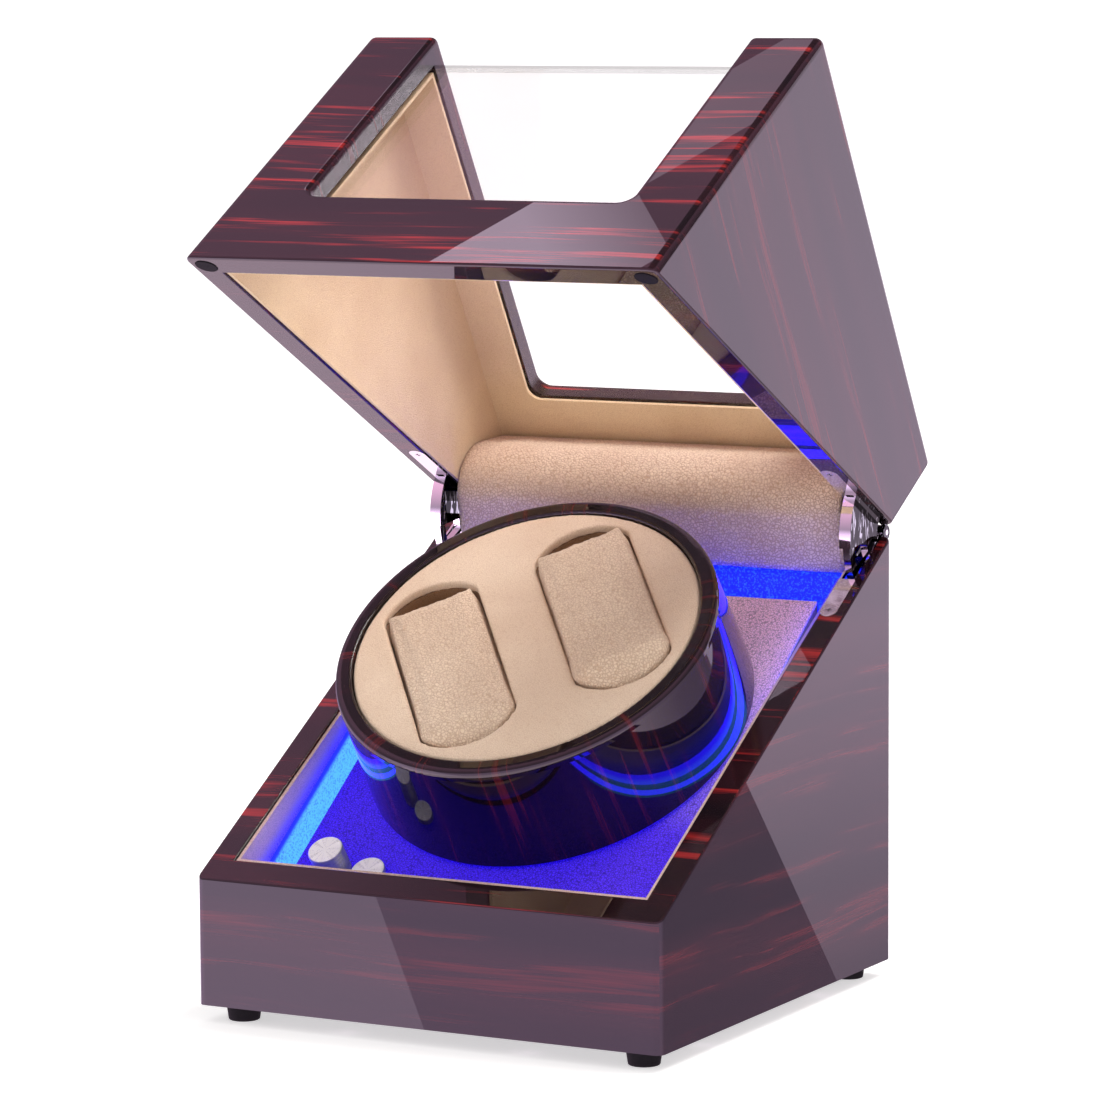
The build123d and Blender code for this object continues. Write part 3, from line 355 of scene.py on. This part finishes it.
def lit_floor(name):
    """Leatherette with blue light painted on it as a glow, most in front and round the drum. Its colour is
    painted too: pale pink at the back where light falls, dark purple in front as painted shadow, and darker
    in the creases as painted shade.
    """
    g = Graph(name, Roughness=0.65, Specular_IOR_Level=0.3, Emission_Strength=1.0)
    where = g.coordinates()
    valley = pebbles(g, where, 0.0009)
    x, y = g.xyz(g.coordinates(floor_place))[:2]
    wander = g.centred(g.noise(where, 45.0, detail=3.0), 0.030)
    from_front_left = g.total(y, g.times(x, 0.55), wander)
    # painted light and shadow: share is 1 in front, with the blue glow and a dark purple colour painted as
    # shadow, and 0 at the back, painted pale where light falls
    share = g.clamp(from_front_left, -0.020, 0.075, 1.0, 0.0)
    # painted light and shade on the grain: pebble tops are painted lighter and creases darker
    crease_shade_tone = g.clamp(valley, 0.0, 1.0, 1.15, 0.50)
    base = g.toned(g.mix(share, srgb(240, 198, 212), srgb(104, 66, 104)), crease_shade_tone)
    painted_glow = g.toned(g.mix(share, (0.12, 0.07, 0.12), (0.004, 0.0, 0.72)), crease_shade_tone)
    return g.finish(Base_Color=base, Emission_Color=painted_glow, Normal=grain_bump(g, valley, 0.00012))


def wall_lining(name):
    """Lining of the base's walls: the blue light from the gap round the floor is painted up it, as a glow
    over a colour painted dark purple near the floor; its creases are painted darker as shade.
    """
    g = Graph(name, Roughness=0.62, Sheen_Weight=0.2, Specular_IOR_Level=0.3, Emission_Strength=1.0)
    valley = pebbles(g, g.coordinates(), 0.0008)
    level = g.xyz(g.coordinates(floor_place))[2]
    # painted light: near the top of the glowing strip the lining is painted dark purple with a blue glow,
    # fading upwards
    share = g.clamp(level, glow_top - 0.001, glow_top + 0.0075, 1.0, 0.0)
    share = g.times(share, g.clamp(valley, 0.0, 1.0, 1.0, 0.7))
    base = g.mix(share, srgb(236, 202, 192), srgb(60, 30, 90))
    # painted shade: the creases are painted darker
    base = g.mix(g.times(valley, 0.4), base, srgb(150, 110, 110))
    painted_glow = g.mix(share, (0.0, 0.0, 0.0), (0.002, 0.0, 0.75))
    return g.finish(Base_Color=base, Emission_Color=painted_glow, Normal=grain_bump(g, valley, 0.0001))


def glowing(name, low, high, strength):
    """Light falling along a lining, painted on as a glow: deep blue at its ends and upper edge, paler along
    the middle. The light tape, a lamp itself, is drawn with the same glow.
    """
    g = Graph(name, Roughness=0.6, Base_Color=(*srgb(50, 50, 90), 1), Emission_Strength=strength)
    where = g.coordinates()
    y = g.xyz(where)[1]
    level = g.xyz(g.coordinates(floor_place))[2]
    front = g.clamp(y, -0.076, -0.045)
    rear = g.clamp(y, 0.030, 0.074, 1.0, 0.0)
    upper = g.clamp(level, glow_top - 0.0045, glow_top - 0.0020, 1.0, 0.0)
    speckle = g.clamp(g.noise(where, 1300.0, detail=2.0, roughness=0.7), 0.36, 0.62, -0.55, 0.30)
    middle = g.total(g.times(front, rear), speckle)
    share = g.times(g.clamp(middle, 0.0, 1.0), upper)
    return g.finish(Emission_Color=g.mix(share, low, high))


# ---------------------------------------------------------------- metal, plastic and glass
def metal(name, colour, roughness, scratch=0.0):
    """Polished or plain metal with faint wear."""
    g = Graph(name, Metallic=1.0, Base_Color=(*colour, 1))
    where = g.coordinates()
    rough = g.clamp(g.noise(where, 300.0, detail=4.0), 0.3, 0.75, roughness * 0.6, roughness * 1.6)
    lines = g.noise(g.mapped(where, scale=(900, 900, 60)), detail=2.0)
    return g.finish(Roughness=rough, Normal=g.bump(lines, 0.00002, scratch))


def hinge_metal(name):
    """Chrome, with the hinge's sideways-facing surfaces painted near black as shade and painted highlight
    lines across them.
    """
    g = Graph(name, Metallic=1.0)
    where = g.coordinates()
    # painted shade and highlights: surfaces facing sideways are painted near black with thin bright lines
    shaded_flank = g.clamp(g.math("ABSOLUTE", g.xyz(g.normal())[0]), 0.6, 0.9)
    lines = g.noise(g.mapped(where, scale=(1, 520, 130)), detail=2.0, distortion=1.2)
    painted_shade_and_glints = g.mix(g.clamp(lines, 0.56, 0.66), (0.012, 0.014, 0.016), (0.50, 0.54, 0.56))
    rough = g.clamp(g.noise(where, 300.0, detail=4.0), 0.3, 0.75, 0.04, 0.10)
    return g.finish(Base_Color=g.mix(shaded_flank, CHROME, painted_shade_and_glints), Roughness=rough)


def spun_metal(name, place, colour, roughness):
    """Metal turned on a lathe: fine rings in its roughness and bump, soft rays round its axis painted as a
    reflection, its top painted bright with a glow and its sides painted darker as shade.
    """
    g = Graph(name, Metallic=0.25, Specular_IOR_Level=0.8, Emission_Strength=0.25)
    x, y, z = g.xyz(g.coordinates(place))
    radius = g.math("SQRT", g.total(g.times(x, x), g.times(y, y)))
    turn = g.math("ARCTAN2", y, x)
    rings = g.noise(g.joined(g.times(radius, 5200), g.times(turn, 1.6), g.times(z, 3000)))
    # painted reflection: soft lighter and darker rays round the axis
    painted_rays = g.noise(g.joined(g.times(turn, 2.4), 0.0, 0.0), detail=3.0)
    shade = g.mix(g.clamp(painted_rays, 0.35, 0.65), scaled(colour, 0.72), colour)
    # painted light and shade: the top glows with the painted rays; the sides are painted darker
    face = g.clamp(g.xyz(g.normal(place))[2], 0.5, 0.9)
    return g.finish(
        Base_Color=g.mix(face, scaled(colour, 0.45), shade),
        Emission_Color=g.mix(face, (0, 0, 0), shade),
        Roughness=g.clamp(rings, 0.3, 0.7, roughness * 0.8, roughness * 1.3),
        Normal=g.bump(rings, 0.00003, 0.5),
    )


def plastic(name, colour, roughness):
    """Moulded plastic or rubber with a fine eroded texture."""
    g = Graph(name, Specular_IOR_Level=0.15)
    where = g.coordinates()
    texture = g.noise(where, 2500.0, detail=3.0)
    base = g.toned(colour, g.clamp(g.noise(where, 120.0), 0.3, 0.7, 0.85, 1.1))
    rough = g.clamp(texture, 0.2, 0.8, roughness * 0.85, roughness * 1.15)
    return g.finish(Base_Color=base, Roughness=rough, Normal=g.bump(texture, 0.00005, 0.4))


def clear_pane(name, place, facing_axis):
    """Clear polished sheet: light goes straight through, and its sawn edges look grey."""
    g = Graph(name, Roughness=0.0, IOR=1.01, Transmission_Weight=1.0, Coat_Weight=0.7, Coat_Roughness=0.0)
    haze = g.clamp(g.noise(g.coordinates(), 40.0), 0.3, 0.7, 0.985, 1.0)
    face = g.math("ABSOLUTE", g.xyz(g.normal(place))[facing_axis])
    tone = g.times(g.clamp(face, 0.5, 0.9, 0.35, 1.0), haze)
    return g.finish(Base_Color=g.grey(tone))


# ---------------------------------------------------------------- finishes of the CAD pieces
def finish_node(node, material):
    """Gives a CAD node one material."""
    slots = nodes[node].material_slots
    if not slots:
        nodes[node].data.materials.append(material)
    for slot in slots:
        slot.material = material


# top edge of the glowing strip of wall, above the floor
glow_top = local_box("glow_linings", floor_place)[1].z
CHROME = (0.92, 0.92, 0.93)
BRIGHT_ALUMINIUM = (0.95, 0.95, 0.97)
SAND = srgb(236, 210, 170)
SAND_DARK = srgb(186, 144, 100)
CREAM = srgb(246, 222, 198)
CREAM_DARK = srgb(196, 156, 126)
lining = leatherette("lining", SAND, SAND_DARK, grain=0.0006, depth=0.00007, crease_shade=0.35)
pad_leather = leatherette("pad_leather", CREAM, CREAM_DARK, grain=0.0007, depth=0.00010, crease_shade=0.4)
pillow_leather = leatherette("pillow_leather", CREAM, CREAM_DARK, grain=0.0011, depth=0.00022, crease_shade=0.62)
curtain_leather = leatherette("curtain_leather", CREAM, CREAM_DARK, grain=0.0012, depth=0.00028, crease_shade=0.75)
slot_leather = leatherette("slot_leather", srgb(170, 128, 92), srgb(120, 84, 56), grain=0.0007)
# painted light on the base and lid veneer: the red streaks are strongest on faces turned towards lit_normal
base_wood = lacquered(
    "lacquered_wood_base",
    place=None,
    seed=3.0,
    lit_normal=spin["axis"],
    weakest=0.12,
    strongest=0.6,
)
lid_wood = lacquered(
    "lacquered_wood_lid",
    place=lid_place,
    seed=11.0,
    lit_normal=(0, -1, 0),
    weakest=0.15,
    strongest=0.9,
)
drum_wood = lacquered_drum("lacquered_wood_drum", table_place, seed=23.0, radius=0.070)
steel = metal("steel", (0.58, 0.58, 0.60), roughness=0.28, scratch=0.3)
hinge_chrome = hinge_metal("hinge_chrome")

# the finish of each material slot
FINISHES = {
    "lacquered_wood": base_wood,
    "lining": lining,
    "pad_leather": pad_leather,
    "clear_pane": clear_pane("clear_pane_front", lid_place, facing_axis=1),
    "chrome": metal("chrome", CHROME, roughness=0.05),
    "steel": steel,
    "brass": metal("brass", (0.75, 0.55, 0.25), roughness=0.3, scratch=0.3),
    "rubber": plastic("rubber", srgb(16, 16, 18), roughness=0.75),
    "black_plastic": plastic("black_plastic", srgb(24, 24, 26), roughness=0.4),
    "gear_nylon": plastic("gear_nylon", srgb(236, 234, 226), roughness=0.45),
    "circuit_board": plastic("circuit_board", srgb(20, 84, 52), roughness=0.4),
    "plain_board": board_material("plain_board", srgb(176, 140, 100)),
    "black_board": board_material("black_board", srgb(30, 28, 30)),
    "light_tape": glowing("light_tape", (0.02, 0.04, 1.0), (0.10, 0.35, 1.0), strength=4.0),
    "knob_metal": steel,
}
for node, piece in nodes.items():
    finish_node(node, FINISHES[piece.material_slots[0].name.split(".")[0]])

# pieces whose finish differs from that of their material slot
finish_node("lid_shell", lid_wood)
finish_node("drum_shell", drum_wood)
finish_node("rim_ring", drum_wood)
# painted light: the glow lining is no lamp; its glow stands for the tape's blue light falling on it
finish_node("glow_linings", glowing("glow_lining", (0.003, 0.012, 0.95), (0.10, 0.52, 0.95), strength=1.0))
finish_node("window_pane_top", clear_pane("clear_pane_top", lid_place, facing_axis=2))
finish_node("floor_lining", lit_floor("lit_floor_lining"))
finish_node("base_linings", wall_lining("base_wall_lining"))
for hand in ("left", "right"):
    finish_node(f"cup_{hand}", slot_leather)
    finish_node(f"hinge_lid_leaf_{hand}", hinge_chrome)
    finish_node(f"hinge_base_leaf_{hand}", hinge_chrome)
for node in ("mode_knob", "light_button"):
    lo, hi = local_box(node, floor_place)
    centre = floor_place @ Vector(((lo.x + hi.x) / 2, (lo.y + hi.y) / 2, 0))
    place = place_of(centre, (1, 0, 0), spin["axis"])
    finish_node(node, spun_metal(f"{node}_metal", place, BRIGHT_ALUMINIUM, roughness=0.30))


# ---------------------------------------------------------------- camera
def add_camera(position, azimuth, elevation, roll, lens):
    """A long-lens camera to the right of the front, looking slightly down."""
    data = bpy.data.cameras.new("camera")
    data.lens = lens
    data.sensor_width = 36
    data.clip_end = 200
    camera = bpy.data.objects.new("camera", data)
    scene.collection.objects.link(camera)
    scene.camera = camera
    level = math.cos(elevation)
    back = Vector((math.sin(azimuth) * level, -math.cos(azimuth) * level, math.sin(elevation)))
    right = Vector((math.cos(azimuth), math.sin(azimuth), 0))
    up = back.cross(right)
    right_rolled = right * math.cos(roll) + up * math.sin(roll)
    up_rolled = up * math.cos(roll) - right * math.sin(roll)
    camera.matrix_world = turned(right_rolled, up_rolled, back, position)


add_camera(
    position=(0.81746, -1.4925, 0.3625),
    azimuth=math.radians(28.66),
    elevation=math.radians(6.86),
    roll=math.radians(-0.38),
    lens=160,
)


# ---------------------------------------------------------------- studio floor and surroundings
def studio_floor(half_size, glow):
    """A wide pale floor that glows a little, so that it stays white behind the box."""
    bm = bmesh.new()
    bmesh.ops.create_grid(bm, x_segments=24, y_segments=24, size=half_size)
    mesh = bpy.data.meshes.new("studio_floor")
    bm.to_mesh(mesh)
    bm.free()
    floor = bpy.data.objects.new("studio_floor", mesh)
    scene.collection.objects.link(floor)
    white = {"Emission_Color": (1, 1, 1, 1), "Emission_Strength": glow}
    g = Graph("studio_floor", Roughness=0.9, Specular_IOR_Level=0.1, **white)
    tone = g.clamp(g.noise(g.coordinates(), 0.8), 0.3, 0.7, 0.90, 0.92)
    mesh.materials.append(g.finish(Base_Color=g.grey(tone)))
    floor.visible_glossy = False


def studio_world():
    """White to the camera, even light on the box, and soft bands of it for the gloss to mirror."""
    world = bpy.data.worlds.new("studio")
    scene.world = world
    world.use_nodes = True
    world.node_tree.nodes.clear()
    t = Tree(world.node_tree)

    def background(colour, strength):
        return t.add("ShaderNodeBackground", {0: colour, 1: strength}).outputs[0]

    def either(chosen, without, when_chosen):
        return t.add("ShaderNodeMixShader", {0: chosen, 1: without, 2: when_chosen}).outputs[0]

    y, z = t.xyz(t.add("ShaderNodeTexCoord").outputs["Generated"])[1:]
    bands = t.ramp(t.linear(z, -1.0, 1.0), *MIRRORED_BANDS)
    dimmer_at_back = t.linear(y, -0.1, 1.0, 2.0, 0.25)
    ray = t.add("ShaderNodeLightPath").outputs
    plain = background((1.0, 0.98, 0.97, 1), 0.68)
    lighting = either(ray["Is Glossy Ray"], plain, background(bands, dimmer_at_back))
    seen = background((1, 1, 1, 1), 1.0)
    t.add("ShaderNodeOutputWorld", {0: either(ray["Is Camera Ray"], lighting, seen)})


# what the gloss mirrors from straight below, 0, to straight above, 1: a paler band near the horizon
MIRRORED_BANDS = (
    (0.20, (1.35, 1.02, 1.25)),
    (0.34, (0.86, 0.60, 0.92)),
    (0.45, (0.86, 0.60, 0.92)),
    (0.56, (0.20, 0.14, 0.20)),
    (0.84, (0.52, 0.28, 0.42)),
    (0.912, (0.52, 0.28, 0.42)),
    (0.928, (0.12, 0.08, 0.11)),
)
studio_floor(half_size=80, glow=0.55)
studio_world()
scene.view_settings.view_transform = "Standard"


# ---------------------------------------------------------------- lights
def fade_along(light, low, high, start, end):
    """Makes a light's strength go from low to high, from start to end along its edge direction."""
    light.use_nodes = True
    t = Tree(light.node_tree)
    along_edge = t.xyz(t.add("ShaderNodeNewGeometry").outputs["Parametric"])[1]
    emission = t.tree.nodes["Emission"]
    t.put(emission.inputs["Strength"], t.linear(along_edge, start, end, low, high))


def panel_light(name, centre, facing, edge, size, radiance, colour):
    """A rectangular light that the camera doesn't see; size is across and along the edge direction."""
    light = bpy.data.lights.new(name, "AREA")
    light.shape = "RECTANGLE"
    light.size, light.size_y = size
    light.energy = radiance * math.pi * size[0] * size[1]
    light.color = colour
    lamp = bpy.data.objects.new(name, light)
    scene.collection.objects.link(lamp)
    z = -Vector(facing).normalized()
    y = Vector(edge)
    y = (y - z * y.dot(z)).normalized()
    lamp.matrix_world = turned(y.cross(z), y, z, centre)
    lamp.visible_camera = False
    return lamp


def mirrored_panel(name, centre, facing, edge, size, radiance, fade=None):
    """A soft panel that only the gloss shows, as a pale patch with straight edges."""
    lamp = panel_light(name, centre, facing, edge, size, radiance, SOFT_WHITE)
    lamp.visible_diffuse = False
    if fade is not None:
        fade_along(lamp.data, *fade)


SOFT_WHITE = (0.96, 0.79, 0.98)
WARM_WHITE = (1.0, 0.98, 0.93)
OVERHEAD = (0.491, -0.387, -0.78)
OVERHEAD_EDGE = (0.747, 0.648, 0.149)
mirrored_panel(
    "front_left_panel",
    centre=(-0.957, -0.861, -0.357),
    facing=(0.498, 0.844, 0.2),
    edge=(-0.382, 0.006, 0.924),
    size=(0.9, 0.9),
    radiance=1.05,
)
mirrored_panel(
    "side_right_panel",
    centre=(0.132, 1.355, 0.06),
    facing=(-0.427, -0.884, 0.188),
    edge=(0.449, -0.027, 0.893),
    size=(1.2, 2.2),
    radiance=1.30,
    fade=(0.30, 1.0, 0.47, 0.56),
)
mirrored_panel(
    "rail_panel",
    centre=(-0.5516, 0.3748, 1.2300),
    facing=OVERHEAD,
    edge=OVERHEAD_EDGE,
    size=(0.063, 0.160),
    radiance=2.7,
    fade=(1.0, 0.36, 0.60, 1.0),
)
mirrored_panel(
    "arm_panel",
    centre=(-0.4526, 0.4868, 1.2367),
    facing=OVERHEAD,
    edge=OVERHEAD_EDGE,
    size=(0.033, 0.135),
    radiance=0.85,
    fade=(1.0, 0.85, 0.0, 1.0),
)
key = panel_light(
    "key_panel",
    centre=(0.75, 0.55, 2.0),
    facing=(-0.75, -0.55, -1.85),
    edge=(0, 1, 0),
    size=(1.1, 1.1),
    radiance=7.0,
    colour=WARM_WHITE,
)
key.visible_glossy = False
for node in ("window_pane_front", "window_pane_top"):
    nodes[node].visible_shadow = False


def tape_light():
    """Blue light from the tapes: along each wall, and rising from the gap between wall and floor."""
    floor_lo, floor_hi = local_box("floor_lining", floor_place)
    strip_lo, strip_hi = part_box("glow_linings")
    slope = floor_place.to_3x3() @ Vector((0, 1, 0))
    rise = floor_place.to_3x3() @ Vector((0, 0, 1))
    run = floor_hi.y - floor_lo.y
    middle = (floor_hi.y + floor_lo.y) / 2
    off_wall = 0.0010
    for side, wall, name in ((-1, strip_lo.x, "left"), (1, strip_hi.x, "right")):
        at_wall = floor_place @ Vector((wall - side * off_wall, middle, 0.0025))
        in_gap = floor_place @ Vector((wall - side * 0.0040, middle, -0.0010))
        outward = rise + Vector((side * 0.3, 0, 0))
        panel_light(f"{name}_wall_glow", at_wall, (-side, 0, 0), slope, (0.0045, run), 8.0, BLUE)
        panel_light(f"{name}_gap_glow", in_gap, outward, slope, (0.0050, run), 12.0, BLUE)
    edge_z = (floor_place @ Vector((0, floor_hi.y, 0))).z
    at_wall = (0, strip_hi.y - off_wall, edge_z + 0.004)
    in_gap = (0, strip_hi.y - 0.006, edge_z - 0.001)
    across = (1, 0, 0)
    width = 0.150
    panel_light("back_wall_glow", at_wall, (0, -1, 0), across, (0.007, width), 12.0, BLUE)
    panel_light("back_gap_glow", in_gap, (0, 0, 1), across, (0.009, width), 5.0, BLUE)


BLUE = (0.02, 0.008, 1.0)
tape_light()


# ---------------------------------------------------------------- mesh helpers
def applied(piece):
    """Replaces a piece's mesh with what its modifiers make of it."""
    bpy.context.view_layer.update()
    evaluated = piece.evaluated_get(bpy.context.evaluated_depsgraph_get())
    made = bpy.data.meshes.new_from_object(evaluated)
    piece.modifiers.clear()
    piece.data = made


def co_of(piece):
    """A piece's vertices, as an array of points."""
    co = np.zeros(len(piece.data.vertices) * 3)
    piece.data.vertices.foreach_get("co", co)
    return co.reshape(-1, 3)


def put_co(piece, co):
    piece.data.vertices.foreach_set("co", np.asarray(co, np.float32).ravel())
    piece.data.update()


# ---------------------------------------------------------------- pillows and padded face
def soft_copy(name, node, voxel, smooth=2):
    """A remeshed copy of a CAD solid with softened edges, in the row frame."""
    piece = bpy.data.objects.new(name, nodes[node].data.copy())
    scene.collection.objects.link(piece)
    remesh = piece.modifiers.new("remesh", "REMESH")
    remesh.mode = "VOXEL"
    remesh.voxel_size = voxel
    applied(piece)
    soften = piece.modifiers.new("soften", "SMOOTH")
    soften.factor = 0.5
    soften.iterations = smooth
    applied(piece)
    return piece


def swell(piece, place, floor_level, pressure, cap, frames=16, size=10.0):
    """Puffs a piece up by cloth simulation under pressure; what lies below floor_level is held.

    The simulation runs on a copy that is size times as large, and no point moves further than cap.
    """
    local = moved(co_of(piece), place.inverted())
    put_co(piece, local * size)
    held = piece.vertex_groups.new(name="held")
    held.add([int(i) for i in np.nonzero(local[:, 2] < floor_level)[0]], 1.0, "REPLACE")
    cloth = piece.modifiers.new("cloth", "CLOTH")
    cloth.settings.quality = 4
    cloth.settings.mass = 0.4
    cloth.settings.tension_stiffness = 18
    cloth.settings.compression_stiffness = 18
    cloth.settings.shear_stiffness = 8
    cloth.settings.bending_stiffness = 1.5
    cloth.settings.use_pressure = True
    cloth.settings.uniform_pressure_force = pressure
    cloth.settings.vertex_group_mass = "held"
    cloth.settings.effector_weights.gravity = 0
    cloth.point_cache.frame_start = 1
    cloth.point_cache.frame_end = frames
    for number in range(1, frames + 1):
        scene.frame_set(number)
    applied(piece)
    scene.frame_set(1)
    shift = co_of(piece) / size - local
    length = np.linalg.norm(shift, axis=1, keepdims=True)
    shift *= np.minimum(1.0, cap / np.maximum(length, 1e-9))
    put_co(piece, moved(local + shift, place))


def wrinkles(co, place, amount, seed):
    """Slow unevenness of a hand-wrapped cover, along the local z axis."""
    x, y = moved(co, place.inverted()).T[:2]
    wave = np.sin(x * 210 + seed) * np.cos(y * 130 - seed * 1.7) + 0.6 * np.sin(y * 260 + x * 90 + seed * 0.6)
    return np.outer(wave * amount, np.array(place.to_3x3() @ Vector((0, 0, 1))))


def finish_soft(piece, node, material, body):
    """Material, smooth faces and declarations of a padded piece that stands for a CAD solid."""
    piece.data.materials.clear()
    piece.data.materials.append(material)
    piece.data.shade_smooth()
    subdivide = piece.modifiers.new("subdivide", "SUBSURF")
    subdivide.levels = subdivide.render_levels = 1
    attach(piece, body)
    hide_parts(node)


def pillow(hand, seed, widest=1.12, narrowing=0.07):
    """A watch pillow, swollen and pressed out against its cup, a little less at its upper end."""
    node = f"pillow_{hand}_pad"
    lo, hi = local_box(node, table_place)
    piece = soft_copy(f"pillow_{hand}", node, voxel=0.0010)
    swell(piece, table_place, lo.z + 0.5 * (hi.z - lo.z), pressure=2.5, cap=0.0008)
    local = moved(co_of(piece), table_place.inverted())
    middle = (lo.x + hi.x) / 2
    toward_upper_end = np.clip((local[:, 1] - 0.012) / 0.024, 0, 1)
    local[:, 0] = middle + (local[:, 0] - middle) * (widest - narrowing * toward_upper_end)
    co = moved(local, table_place)
    put_co(piece, co + wrinkles(co, table_place, amount=0.00008, seed=seed))
    finish_soft(piece, node, pillow_leather, f"pillow_{hand}")


def padded_face():
    """The turntable's padded cover, with its edges rolled into the slots."""
    piece = soft_copy("face_cover", "face_pad", voxel=0.0008)
    co = co_of(piece)
    put_co(piece, co + wrinkles(co, table_place, amount=0.00006, seed=5.0))
    finish_soft(piece, "face_pad", pad_leather, "turntable")


pillow("left", seed=0.4)
pillow("right", seed=2.1)
padded_face()


# ---------------------------------------------------------------- curtain over the hinge gap
def arc_through(start, middle, end, count):
    """Points between the two ends of the arc through three points, ends left out."""
    rows = np.array([2 * (middle - start), 2 * (end - start)])
    sums = np.array([middle @ middle - start @ start, end @ end - start @ start])
    centre = np.linalg.solve(rows, sums)
    radius = np.linalg.norm(start - centre)
    first = math.atan2(*(start - centre)[::-1])
    last = math.atan2(*(end - centre)[::-1])
    if last < first:
        last += 2 * math.pi
    turns = np.linspace(first, last, count)[1:-1]
    return [centre + radius * np.array((math.cos(a), math.sin(a))) for a in turns]


def curtain_path():
    """Points down the middle of the flap, y and z: from the lid's lining, round a bend, to the hem."""
    top = np.array((0.1070, 0.1862))
    start = np.array((0.0920, 0.1854))
    middle = np.array((0.0774, 0.1792))
    end = np.array((0.0728, 0.1675))
    hem = np.array((0.0770, 0.1465))
    upper = [top + (start - top) * t for t in np.linspace(0, 1, 7)]
    lower = [end + (hem - end) * t for t in np.linspace(0, 1, 11)]
    return np.array([*upper, *arc_through(start, middle, end, 15), *lower])


def curtain_rows(path, along, half_width, columns):
    """A row of points across the flap at each point of its path, wavier towards the hem."""
    tangent = np.gradient(path, axis=0)
    tangent /= np.linalg.norm(tangent, axis=1, keepdims=True)
    outward = np.stack([-tangent[:, 1], tangent[:, 0]], axis=1)
    vertices = []
    for point, out, distance in zip(path, outward, along):
        free = (distance / along[-1]) ** 2
        for j in range(columns + 1):
            x = -half_width + 2 * half_width * j / columns
            wave = math.sin(x * 62 + 0.8) * 0.00045 + math.sin(x * 151 + 2.0) * 0.00016
            vertices.append((x, *(point + out * wave * free)))
    return vertices


def grid_faces(rows, columns):
    """Four-sided faces of a grid with so many rows and columns of faces."""
    count = columns + 1
    corners = [i * count + j for i in range(rows) for j in range(columns)]
    return [(a, a + 1, a + 1 + count, a + count) for a in corners]


def curtain(columns=72, side_gap=0.0004, thickness=0.0009):
    """The flap that hides the hinge gap: it bends between the lid and the base."""
    path = curtain_path()
    along = np.concatenate([[0], np.cumsum(np.linalg.norm(np.diff(path, axis=0), axis=1))])
    lo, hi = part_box("back_curtain")
    half_width = (hi.x - lo.x) / 2 - side_gap
    mesh = bpy.data.meshes.new("curtain_flap")
    vertices = curtain_rows(path, along, half_width, columns)
    mesh.from_pydata(vertices, [], grid_faces(len(path) - 1, columns))
    mesh.materials.append(curtain_leather)
    flap = bpy.data.objects.new("curtain_flap", mesh)
    scene.collection.objects.link(flap)
    thick = flap.modifiers.new("thickness", "SOLIDIFY")
    thick.thickness = thickness
    thick.offset = 0
    applied(flap)
    flap.data.shade_smooth()
    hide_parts("back_curtain")
    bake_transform(flap)


curtain()
